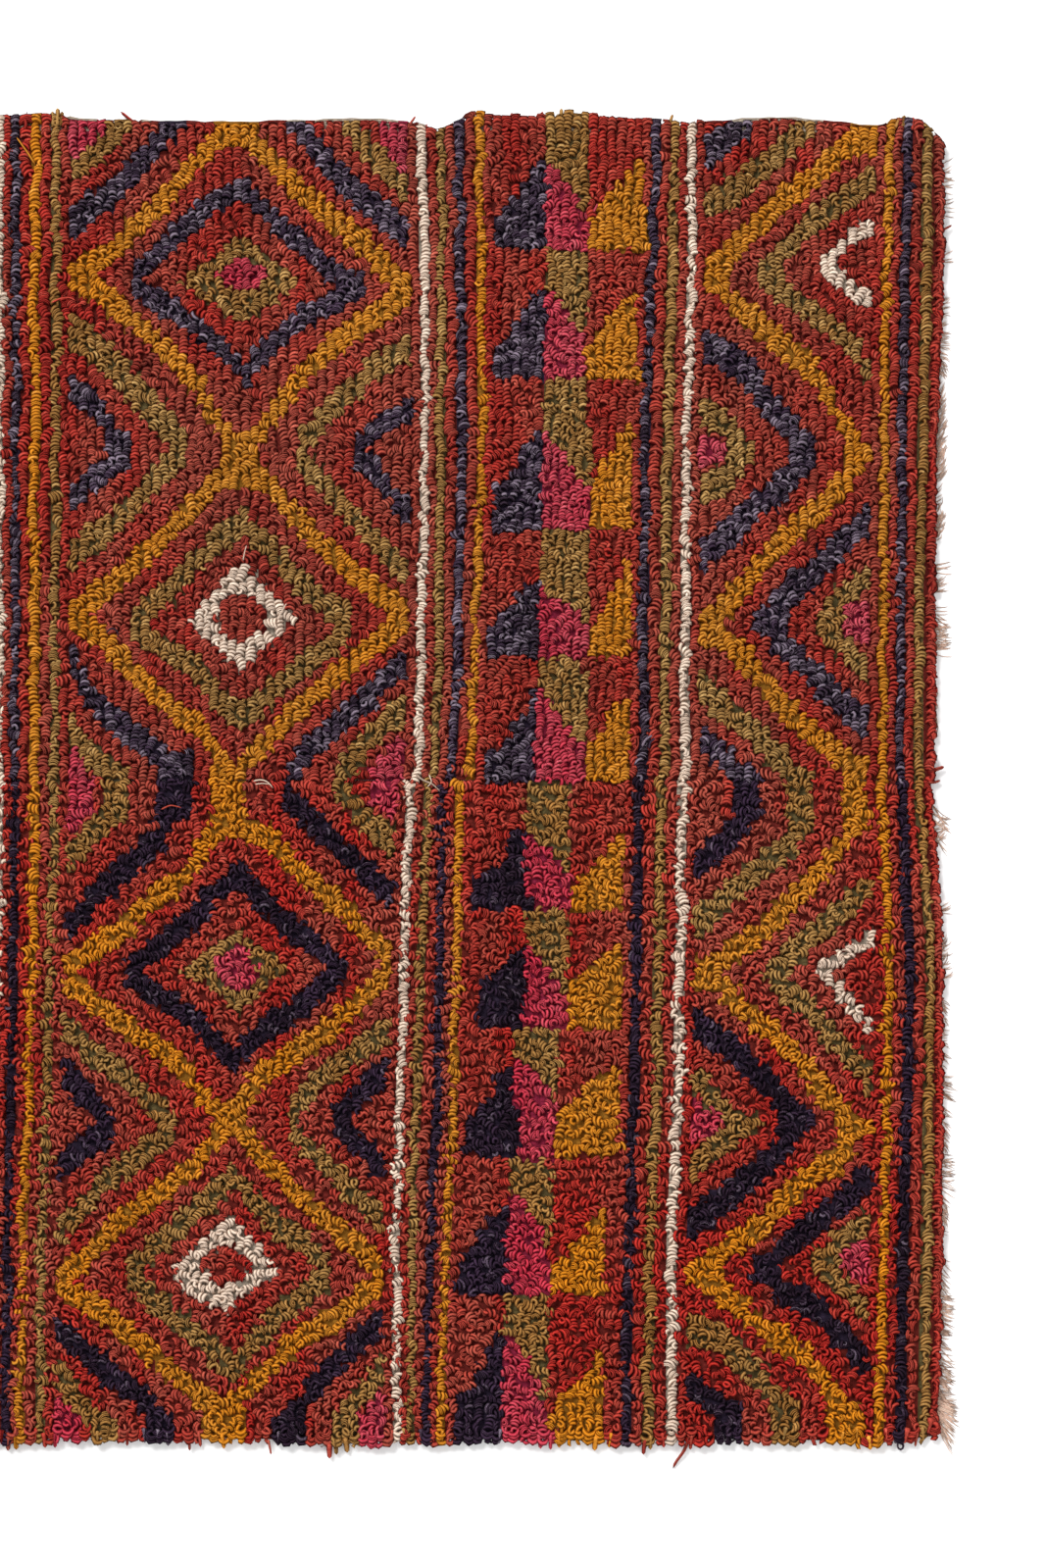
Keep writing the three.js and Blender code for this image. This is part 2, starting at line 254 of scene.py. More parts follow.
diamondShapes = [
    ("olive", [(-51, 480), (7, 526), (62, 475)], [(-51, 478), (7, 437), (62, 473)]),
    ("rose", [(-17, 483), (-4, 497), (8, 501), (21, 497), (33, 483)], [(-17, 481), (-4, 471), (8, 467),
     (21, 471), (33, 481)]),
    ("navy", 10, [(-102, 481), (-38, 537), (7, 568), (38, 535), (98, 484), (119, 474)]),
    ("navy", 10, [(-102, 481), (-75, 458), (-56, 448), (-19, 418), (0, 398), (8, 384), (19, 404),
     (56, 435), (119, 474)]),
    ("olive", 13, [(-157, 587), (-145, 592), (-127, 606), (-100, 640)]),
    ("rose", [(-163, 652), (-128, 652)], [(-163, 594), (-155, 596), (-128, 616)]),
    ("navy", 13, [(-157, 532), (-112, 568), (-47, 641)]),
    ("navy", 13, [(47, 641), (98, 578), (169, 520)]),
    ("olive", 13, [(98, 643), (131, 598), (169, 566)]),
    ("rose", [(136, 652), (169, 652)], [(136, 615), (161, 579), (169, 574)]),
    ("olive", 16, [(-159, 431), (-131, 414), (-56, 329), (-47, 322)]),
    ("olive", 12, [(-159, 212), (-108, 254), (-66, 302), (-47, 316)]),
    ("navy", 12, [(-159, 375), (-141, 365), (-127, 348), (-112, 322), (-102, 317)]),
    ("navy", 12, [(-159, 269), (-120, 302), (-102, 313)]),
    ("navy", [(-128, 334), (-102, 334)], [(-128, 296), (-102, 296)]),
    ("olive", 11, [(59, 320), (131, 393), (169, 415)]),
    ("olive", 11, [(59, 312), (169, 192)]),
    ("navy", 11, [(111, 314), (131, 334), (169, 357)]),
    ("navy", 11, [(111, 312), (124, 306), (141, 289), (150, 273), (169, 249)]),
    ("ivory", [(-44, 156), (5, 210), (59, 156)], [(-44, 152), (-20, 128), (7, 107), (59, 152)]),
    ("red", [(-19, 156), (-13, 172), (5, 181), (23, 174), (31, 156)], [(-19, 154), (-11, 137), (7, 130),
     (24, 139), (31, 154)]),
    ("olive", 11, [(-99, 153), (-75, 176), (-56, 187), (-19, 232), (7, 250), (19, 234), (56, 196),
     (94, 163), (114, 153)]),
    ("olive", 11, [(-99, 149), (-56, 118), (-38, 109), (-17, 78), (3, 62), (19, 69), (56, 105), (94, 132),
     (114, 151)]),
    ("navy", 13, [(-159, 120), (-145, 90), (-131, 69), (-75, 26), (-47, -4)]),
    ("navy", 13, [(-159, -138), (-131, -107), (-98, -79), (-70, -49), (-60, -28), (-47, -9)]),
    ("navy", [(-77, 29), (-45, 29)], [(-77, -39), (-45, -39)]),
    ("olive", 13, [(-159, 48), (-136, 22), (-114, 6), (-101, -9)]),
    ("olive", 13, [(-159, -73), (-101, -15)]),
    ("olive", [(-126, 6), (-101, 6)], [(-126, -38), (-101, -38)]),
    ("rose", [(-163, 41), (-132, -2)], [(-163, -56), (-144, -39), (-132, -22)]),
    ("navy", 12, [(45, -1), (75, 36), (131, 82), (145, 99), (169, 118)]),
    ("navy", 12, [(45, -13), (169, -129)]),
    ("olive", 12, [(99, 1), (108, 15), (136, 48), (150, 61), (169, 70)]),
    ("olive", 12, [(99, -4), (114, -27), (131, -46), (169, -71)]),
    ("rose", [(126, 6), (144, 34), (169, 51)], [(126, -22), (144, -38), (169, -41)]),
    ("olive", [(-50, -180), (0, -140), (49, -178)], [(-50, -183), (0, -221), (49, -180)]),
    ("rose", [(-22, -177), (-13, -162), (0, -157), (13, -162), (22, -177)], [(-22, -180), (-13, -196),
     (0, -202), (13, -196), (22, -180)]),
    ("navy", 11, [(-104, -183), (-56, -144), (2, -91), (47, -135), (103, -179)]),
    ("navy", 11, [(-104, -186), (-38, -231), (-2, -266), (19, -246), (70, -210), (103, -182)]),
    ("olive", 11, [(-169, -232), (-131, -266), (-96, -292), (-61, -330)]),
    ("olive", 11, [(-169, -431), (-122, -382), (-61, -334)]),
    ("navy", 13, [(-171, -276), (-141, -299), (-118, -329)]),
    ("navy", 13, [(-171, -374), (-155, -357), (-118, -332)]),
    ("olive", 11, [(50, -322), (64, -302), (80, -285), (159, -230)]),
    ("olive", 11, [(50, -328), (66, -348), (117, -398), (159, -444)]),
    ("navy", 12, [(98, -323), (122, -296), (159, -266)]),
    ("navy", 12, [(98, -327), (136, -367), (159, -379)]),
    ("ivory", [(-64, -471), (-5, -413), (42, -469)], [(-64, -474), (-14, -511), (42, -472)]),
    ("red", [(-35, -464), (-22, -450), (-8, -442), (6, -451), (15, -464)], [(-35, -467), (-25, -478),
     (-11, -486), (4, -478), (15, -466)]),
    ("olive", 11, [(-101, -472), (-75, -444), (0, -377), (19, -405), (38, -423), (73, -449), (94, -470)]),
    ("olive", 11, [(-101, -473), (-80, -496), (-3, -562), (38, -513), (94, -472)]),
    ("navy", 12, [(-178, -518), (-136, -550), (-122, -566), (-84, -594), (-75, -611)]),
    ("navy", [(-84, -590), (-59, -613)], [(-84, -660), (-59, -660)]),
    ("olive", 14, [(-173, -566), (-145, -599), (-134, -618)]),
    ("olive", [(-142, -590), (-115, -613)], [(-142, -660), (-115, -660)]),
    ("rose", [(-178, -583), (-166, -590), (-146, -615)], [(-178, -660), (-146, -660)]),
    ("navy", 12, [(64, -592), (112, -542), (159, -505)]),
    ("navy", [(36, -613), (68, -585)], [(36, -660), (68, -660)]),
    ("olive", 13, [(114, -594), (159, -540)]),
    ("olive", [(90, -611), (118, -578)], [(90, -660), (118, -660)]),
    ("rose", [(118, -608), (139, -583), (159, -568)], [(118, -660), (159, -660)]),
    ("gold", 12, [(-159, 483), (-112, 511), (-19, 612), (0, 622), (19, 612), (56, 568), (75, 554),
     (169, 469)]),
    ("gold", 12, [(-159, 483), (-131, 468), (-112, 453), (-38, 381), (-19, 346), (2, 317), (19, 327),
     (75, 401), (112, 431), (169, 468)]),
    ("gold", 12, [(-159, 156), (-131, 176), (-75, 226), (3, 306), (21, 294), (75, 232), (169, 155)]),
    ("gold", 12, [(-159, 156), (-131, 139), (-94, 98), (-38, 54), (0, 1), (19, 27), (56, 65), (148, 142),
     (169, 154)]),
    ("gold", 12, [(-171, -183), (-112, -146), (-75, -110), (-56, -100), (-38, -71), (-19, -52), (0, -41),
     (38, -60), (75, -100), (112, -130), (131, -153), (158, -177)]),
    ("gold", 12, [(-171, -184), (-145, -201), (-112, -230), (-56, -268), (-42, -285), (-33, -302),
     (-14, -322), (-5, -318), (23, -285), (94, -235), (136, -191), (158, -177)]),
    ("gold", 12, [(-172, -480), (-150, -463), (-112, -424), (-38, -367), (-7, -327), (0, -327),
     (19, -352), (56, -392), (144, -471)]),
    ("gold", 12, [(-172, -480), (-131, -506), (-75, -551), (-38, -588), (-14, -604), (5, -592),
     (38, -554), (56, -539), (94, -516), (144, -475)]),
    ("gold", [(-20, 652), (22, 652)], [(-20, 606), (22, 606)]),
    ("gold", [(-17, 332), (21, 332)], [(-17, 278), (21, 278)]),
    ("gold", [(-21, 17), (9, 17)], [(-21, -39), (9, -39)]),
    ("gold", [(-26, -313), (11, -313)], [(-26, -339), (11, -339)]),
    ("gold", [(-29, -594), (9, -594)], [(-29, -660), (9, -660)]),
]

zigzagShapes = [
    ("olive", 10, [(512, 488), (523, 504), (553, 534), (609, 574), (616, 583)]),
    ("olive", 10, [(512, 480), (525, 467), (572, 434), (591, 416), (600, 406), (609, 385)]),
    ("olive", [(504, 499), (527, 506)], [(504, 474), (516, 463), (527, 461)]),
    ("ivory", 9, [(578, 509), (595, 526), (616, 534)]),
    ("ivory", 9, [(578, 481), (611, 457)]),
    ("ivory", [(557, 501), (581, 518)], [(557, 484), (581, 469)]),
    ("navy", 14, [(514, 165), (534, 184), (544, 188), (581, 228), (614, 257)]),
    ("navy", 14, [(510, 144), (544, 114), (553, 101), (581, 73), (607, 52)]),
    ("navy", [(497, 160), (505, 167), (528, 172)], [(497, 146), (505, 139), (528, 132)]),
    ("olive", 11, [(564, 161), (612, 202)]),
    ("olive", 11, [(564, 144), (607, 104)]),
    ("olive", [(555, 162), (582, 172)], [(555, 142), (562, 135), (582, 128)]),
    ("rose", [(582, 166), (591, 171), (612, 174)], [(582, 141), (612, 129)]),
    ("olive", 12, [(516, -180), (525, -169), (544, -157), (562, -138), (591, -116), (609, -98)]),
    ("olive", 12, [(516, -189), (525, -200), (553, -222), (581, -256), (600, -273), (607, -285)]),
    ("olive", [(504, -179), (528, -168)], [(504, -191), (528, -205)]),
    ("ivory", 10, [(577, -172), (612, -148)]),
    ("ivory", 10, [(572, -195), (611, -236)]),
    ("ivory", [(556, -177), (579, -163)], [(556, -192), (567, -196), (579, -208)]),
    ("navy", 13, [(511, -458), (572, -410), (581, -399), (591, -394), (600, -383), (608, -381)]),
    ("navy", 13, [(511, -480), (553, -501), (562, -510), (572, -526), (581, -532), (607, -561)]),
    ("navy", [(494, -459), (523, -446)], [(494, -476), (523, -491)]),
    ("olive", 10, [(567, -452), (595, -428), (609, -422)]),
    ("olive", 10, [(564, -465), (591, -491), (608, -515)]),
    ("olive", [(548, -454), (576, -441)], [(548, -469), (576, -478)]),
    ("rose", [(577, -455), (595, -442), (609, -439)], [(577, -465), (609, -488)]),
    ("navy", 13, [(445, 598), (497, 632)]),
    ("olive", 13, [(445, 549), (483, 567), (492, 578), (520, 599), (539, 619), (558, 632)]),
    ("navy", 15, [(445, 420), (488, 393), (497, 384), (516, 354), (539, 329)]),
    ("navy", 15, [(442, 210), (539, 296)]),
    ("navy", [(528, 334), (536, 338), (548, 334), (557, 326)], [(528, 289), (536, 287), (548, 291),
     (557, 300)]),
    ("olive", 13, [(442, 354), (466, 343), (485, 320)]),
    ("olive", 13, [(442, 274), (473, 292), (485, 308)]),
    ("olive", [(473, 336), (497, 324)], [(473, 296), (497, 304)]),
    ("rose", [(439, 334), (464, 327), (472, 318)], [(439, 292), (464, 303), (472, 312)]),
    ("olive", 14, [(442, 93), (476, 61), (495, 49), (514, 27), (534, 9)]),
    ("olive", 14, [(442, -139), (478, -103), (497, -90), (506, -79), (516, -74), (536, -53)]),
    ("olive", [(527, 17), (553, 6)], [(527, -62), (539, -62), (554, -47)]),
    ("navy", 13, [(442, 41), (459, 32), (488, -4)]),
    ("navy", 13, [(439, -82), (483, -47), (489, -38)]),
    ("navy", [(472, 9), (488, 17), (500, 11)], [(472, -39), (488, -51), (500, -39)]),
    ("navy", 14, [(436, -227), (473, -254), (532, -313)]),
    ("navy", 14, [(429, -431), (506, -371), (534, -338)]),
    ("navy", [(523, -300), (536, -300), (553, -317)], [(523, -360), (536, -352), (553, -332)]),
    ("olive", 11, [(434, -281), (471, -318), (483, -326)]),
    ("olive", 11, [(434, -374), (452, -356), (483, -334)]),
    ("olive", [(473, -315), (499, -322)], [(473, -347), (499, -337)]),
    ("rose", [(431, -305), (445, -305), (471, -325)], [(431, -345), (445, -344), (471, -328)]),
    ("olive", 13, [(433, -524), (466, -535), (485, -554), (494, -559), (516, -587)]),
    ("olive", [(511, -571), (542, -596)], [(511, -660), (542, -660)]),
    ("navy", 12, [(424, -585), (441, -578), (469, -604)]),
    ("navy", [(461, -585), (486, -596)], [(461, -660), (486, -660)]),
    ("gold", 13, [(464, 497), (525, 555), (553, 574), (591, 612), (614, 611)]),
    ("gold", 13, [(464, 476), (469, 470), (478, 452), (497, 442), (553, 391), (572, 359), (581, 339),
     (593, 322)]),
    ("gold", 13, [(464, 163), (478, 175), (516, 221), (562, 263), (591, 294), (593, 301)]),
    ("gold", 13, [(464, 139), (488, 118), (506, 93), (544, 49), (591, 12)]),
    ("gold", 13, [(464, -172), (506, -142), (544, -105), (581, -61), (594, -39)]),
    ("gold", 13, [(464, -194), (478, -206), (497, -229), (534, -259), (562, -296), (591, -327)]),
    ("gold", 13, [(452, -463), (506, -425), (525, -400), (562, -369), (572, -365), (592, -345)]),
    ("gold", 13, [(452, -481), (469, -490), (506, -527), (525, -534), (544, -549), (572, -590)]),
    ("gold", [(579, 620), (612, 622)], [(579, 592), (612, 604)]),
    ("gold", [(451, 502), (474, 512)], [(451, 468), (474, 461)]),
    ("gold", [(579, 336), (592, 339), (608, 322)], [(579, 285), (592, 287), (608, 306)]),
    ("gold", [(447, 163), (470, 176)], [(447, 128), (470, 124)]),
    ("gold", [(579, 24), (608, 19)], [(579, -66), (608, -43)]),
    ("gold", [(443, -172), (471, -159)], [(443, -199), (471, -204)]),
    ("gold", [(578, -315), (608, -328)], [(578, -360), (608, -338)]),
    ("gold", [(431, -463), (450, -454), (466, -454)], [(431, -478), (450, -493), (466, -493)]),
    ("gold", [(564, -568), (579, -578), (602, -604)], [(564, -613), (572, -660), (602, -660)]),
]

# The ladder of right triangles, from the top. Sides are the x of the columns' edges.
ladderUnits = [
    {"top": 652, "foot": 508, "sides": (248, 297, 340, 393),
     "navy": [(248, 538), (270, 562), (281, 585), (288, 593), (297, 593)],
     "rose": [(297, 591), (306, 589), (340, 542)],
     "gold": [(340, 538), (363, 568), (373, 572), (378, 586), (384, 593), (393, 596)]},
    {"top": 508, "foot": 384, "sides": (247, 297, 339, 387),
     "navy": [(247, 412), (258, 416), (261, 428), (267, 439), (282, 458), (290, 466), (297, 466)],
     "rose": [(297, 471), (305, 467), (336, 425), (341, 422)],
     "gold": [(339, 416), (345, 422), (351, 439), (358, 449), (382, 468), (387, 465)]},
    {"top": 384, "foot": 240, "sides": (249, 295, 338, 381),
     "navy": [(249, 281), (264, 292), (270, 304), (275, 319), (295, 337)],
     "rose": [(295, 337), (303, 333), (308, 319), (317, 308), (330, 284), (338, 278)],
     "gold": [(338, 283), (345, 292), (353, 308), (363, 317), (373, 341), (381, 343)]},
    {"top": 240, "foot": 120, "sides": (243, 292, 337, 382),
     "navy": [(243, 148), (250, 152), (256, 163), (281, 189), (292, 191)],
     "rose": [(291, 191), (297, 187), (302, 173), (317, 172), (338, 146)],
     "gold": [(337, 142), (350, 158), (355, 172), (364, 184), (369, 195), (373, 211), (382, 214)]},
    {"top": 120, "foot": -1, "sides": (239, 291, 334, 381),
     "navy": [(239, 26), (248, 28), (262, 43), (268, 54), (282, 69), (284, 85), (291, 87)],
     "rose": [(291, 88), (306, 73), (311, 62), (328, 36), (336, 32)],
     "gold": [(334, 26), (353, 50), (356, 64), (365, 69), (372, 79), (382, 80)]},
    {"top": -1, "foot": -122, "sides": (228, 282, 323, 376),
     "navy": [(228, -95), (262, -71), (263, -49), (272, -46), (281, -52)],
     "rose": [(281, -47), (286, -55), (305, -66), (311, -82), (325, -91)],
     "gold": [(323, -102), (368, -53), (376, -52)]},
    {"top": -122, "foot": -236, "sides": (229, 276, 316, 371),
     "navy": [(229, -193), (255, -176), (269, -159), (276, -158)],
     "rose": [(275, -157), (281, -158), (288, -165), (309, -197), (316, -202)],
     "gold": [(316, -202), (330, -186), (363, -158), (371, -161)]},
    {"top": -236, "foot": -361, "sides": (223, 269, 308, 366),
     "navy": [(223, -322), (246, -300), (248, -288), (254, -278), (270, -269)],
     "rose": [(270, -272), (278, -272), (286, -278), (293, -287), (307, -313), (310, -315)],
     "gold": [(308, -319), (313, -311), (332, -300), (338, -289), (368, -273)]},
    {"top": -361, "foot": -492, "sides": (217, 262, 301, 358),
     "navy": [(217, -456), (221, -449), (230, -443), (236, -431), (246, -418), (262, -403)],
     "rose": [(262, -399), (272, -401), (279, -409), (288, -421), (303, -454), (307, -458)],
     "gold": [(301, -465), (322, -447), (344, -418), (358, -405)]},
    {"top": -492, "foot": -660, "sides": (209, 255, 303, 356),
     "navy": [(209, -596), (216, -585), (225, -578), (232, -566), (246, -532), (255, -527)],
     "rose": [(255, -529), (272, -538), (286, -568), (292, -587), (304, -608)],
     "gold": [(302, -604), (316, -583), (338, -564), (350, -540), (356, -533)]},
]

chartSetup = {
    "lineGrowth": {"olive": 2.5, "navy": 2.0, "gold": 1.0},  # loops of a line spread over their neighbours
    "diamondRows": (-19, 19),
    "ladderRows": (27, 46),
    "zigzagRows": (51, 71),
    "mirrorRow": -26,  # rows past this one repeat the near bands
    "wobble": 1.4,
    "rowWobble": 2.4,
    "mirrorWobble": 7,  # so that the far bands aren't the near ones over again
}


def heightAt(line, x):
    return np.interp(x, [p[0] for p in line], [p[1] for p in line])


def paintShapes(colour, where, x, y, shapes):
    for name, *lines in shapes:
        if isinstance(lines[0], int):
            half, line = lines
            half = half + chartSetup["lineGrowth"].get(name, 0)
            middle = heightAt(line, x)
            high, low = middle + half, middle - half
            first, last = line[0][0], line[-1][0]
        else:
            high, low = heightAt(lines[0], x), heightAt(lines[1], x)
            first = max(lines[0][0][0], lines[1][0][0])
            last = min(lines[0][-1][0], lines[1][-1][0])
        inside = where & (x >= first) & (x <= last) & (y < high) & (y > low)
        colour[inside] = palette.index(name)


def paintLadder(colour, where, x, y):
    for unit in ladderUnits:
        left, middle, right, end = unit["sides"]
        inside = where & (y <= unit["top"]) & (y > unit["foot"])
        colour[inside & (x >= left) & (x < middle) & (y < heightAt(unit["navy"], x))] = navy
        column = inside & (x >= middle) & (x < right)
        colour[column] = olive
        colour[column & (y < heightAt(unit["rose"], x))] = rose
        colour[inside & (x >= right) & (x < end) & (y < heightAt(unit["gold"], x))] = gold


# The yarn's colour for the loops at rows and y.
def chart(panel, row, y):
    x = rowX(panel, row, y)
    far = row < chartSetup["mirrorRow"]
    sameX = np.where(far, rowX(panel, -row, y), x)
    sameRow = np.where(far, -row, row)
    wobble = chartSetup["wobble"] * smoothNoise(sameX / 30, y / 18, seeds["chart"])
    wobble = wobble + chartSetup["rowWobble"] * (hashed(row, np.round(y / 30), seeds["chartRow"]) - 0.5)
    farWobble = chartSetup["mirrorWobble"] * smoothNoise(row / 9, y / 90, seeds["chartMirror"])
    shownY = y + wobble + np.where(far, farWobble, 0)
    colour = np.full(y.shape, red)

    def between(rows, name):
        first, last = chartSetup[name]
        return (rows > first) & (rows < last)

    paintShapes(colour, between(row, "diamondRows"), x, shownY, diamondShapes)
    paintShapes(colour, between(sameRow, "zigzagRows"), sameX, shownY, zigzagShapes)
    paintLadder(colour, between(sameRow, "ladderRows"), sameX, shownY)
    for k, name in stripes.items():
        colour[row == k] = palette.index(name)
    return colour


# The pile. Along each row the yarn stands up in short arches that gather into bundles of one colour.

pile = {
    "archesInRow": 182,
    "unevenStart": 0.9,
    "halfWidth": 1.9,
    "foot": 2.6,  # where the arches leave the ground weave
    "height": 11.6,
    "bundleRise": 0.9,  # the middle of a bundle stands higher than its ends
    "bundlePinch": 0.05,
    "radius": 6.0,  # of an arch seen from above
    "radiusRange": (0.92, 1.25),  # it follows the rows' spacing within these
    "middle": 0.8,  # share of the radius from the arc's centre to the arch's foot
    "bend": 2.0,  # radians of an arch seen from above
    "spin": 0.2,
    "fan": 0.5,  # radians, the arches of one bundle spread like this
    "turn": 0.5,  # radians, how far tidy bundles turn from the row
    "sideways": {"upper": 0.1, "lower": 0.7},  # share of bundles that lie across the row
    "sidewaysTurn": 1.15,
    "lean": 0.55,  # radians, how far whole patches turn
    "leanPatch": 26,
    "drift": 2.8,  # how far whole patches shift
    "driftPatch": 17,
    "nap": 1.6,  # the pile leans towards the upper edge
    "wave": 0.9,  # how far rows wander sideways
    "edgeDrop": 0.3,  # how far the sides of the yarn lie under its crown
    "edgeTilt": 0.25,
    "mixed": {"upper": 1.0, "lower": 0.35},  # how much pale wool is spun in, also scaling the painted crest highlight
    "shade": {"upper": -0.3, "lower": 0.12},  # painted shade on the upper panel, painted light on the lower, against the key light's fall-off
    "navyShade": {"upper": 0.0, "lower": -0.6},
    "seamStart": {"upper": -1.6, "lower": 0.4},
    "rimInset": 0.5,
    "shows": 2.0,  # an arch shows this far above its foot
}
# How much single arches and bundles differ.
archVaries = {"spin": 0.15, "bend": 0.25, "radius": 0.06, "height": 0.3, "width": 0.08}
bundleVaries = {"radius": 0.12, "height": 1.3, "x": 0.8}
tangle = {  # 0 lies in tidy rows, 1 is all curls
    "level": {"upper": 0.24, "lower": 0.8},
    "patches": 0.3,
    "patch": 80,
    "onStripes": 0.5,  # stripes are tidier
    "turnFrom": 0.4,
    "turn": 0.6,
    "spin": 0.5,
    "bend": 0.5,
    "radius": 0.25,
    "height": 0.8,
    "x": 1.3,
    "y": 0.7,
}
curls = {
    "share": 0.24,
    "lowShare": 0.35,  # of bundles that end in a curl at their lower side
    "lowFrom": -0.2,
    "radius": 2.9,
    "radiusVaries": 0.12,
    "bend": 4.5,
    "bendVaries": 0.8,
    "spin": 2.6,
}
rim = {  # the loops at the long edges hang out as tongues
    "arches": 4.5,
    "from": 0.3,
    "missing": 0.15,
    "bend": {"upper": 0.3, "lower": 1.0},
    "bundleSpin": 0.45,
    "archSpin": 0.2,
    "stretch": {"upper": 1.15, "lower": 1.5},
    "spikes": [(215, 365, 1.9)],  # where the upper edge has long ones: from x, to x, stretch
    "droop": 2.0,
    "lower": 0.32,  # share of the height that the pile loses there
}
ends = {  # the last rows at the short ends
    "rows": 1.4,
    "from": 0.6,
    "ragged": 0.55,
    "spin": -1.3,
    "spinVaries": 0.6,
    "stretch": 0.8,
    "reach": 2.6,
    "lower": 0.25,
}
upperCut = {  # the upper edge is cut nearly level
    "bundle": 0.5,
    "arch": 0.7,
    "long": 3.0,
    "longStretch": 1.3,
    "longShare": 0.5,
    "scallop": 0.6,
    "scallopPitch": 0.36,
}


# Splits each row of arches into bundles of up to five of one colour. Gives each arch's place in its bundle,
# the bundle's size and its first arch.
def bundled(colours):
    rows, count = colours.shape
    index = np.zeros((rows, count), int)
    size = np.ones((rows, count), int)
    first = np.zeros((rows, count), int)
    for r in range(rows):
        k = 0
        while k < count:
            end = k + 1
            wanted = 3 + int(1.9 * hashed(r, k, seeds["bundleSize"]))
            while end < count and end - k < wanted and colours[r, end] == colours[r, k]:
                end += 1
            if end < count - 1 and colours[r, end] == colours[r, k] and colours[r, end + 1] != colours[r, k]:
                end += 1
            index[r, k:end] = np.arange(end - k)
            size[r, k:end] = end - k
            first[r, k:end] = k
            k = end
    return index.ravel(), size.ravel(), first.ravel()


# Every arch's row, place, colour and bundle on one panel.
def layArches(panel):
    side = sideOf[panel]
    count = pile["archesInRow"]
    rows = np.arange(-lastRow, lastRow + 1)
    row, k = np.meshgrid(rows, np.arange(count), indexing="ij")
    shape = row.shape
    row, k = row.ravel(), k.ravel()
    share = (k + 0.5 + pile["unevenStart"] * (hashed(row, 2, seeds["start"]) - 0.5)) / count
    start = pile["seamStart"][panel]
    y = side * (start + share * (panelWidth - start))
    x = rowX(panel, row, y)
    y = side * (start + share * (outerY(panel, x) - pile["rimInset"] - start))
    x = rowX(panel, row, y)
    colour = chart(panel, row, y + pile["shows"])
    index, size, first = bundled(colour.reshape(shape))
    return {"row": row, "k": k, "x": x, "y": y, "colour": colour,
            "index": index, "size": size, "first": first}


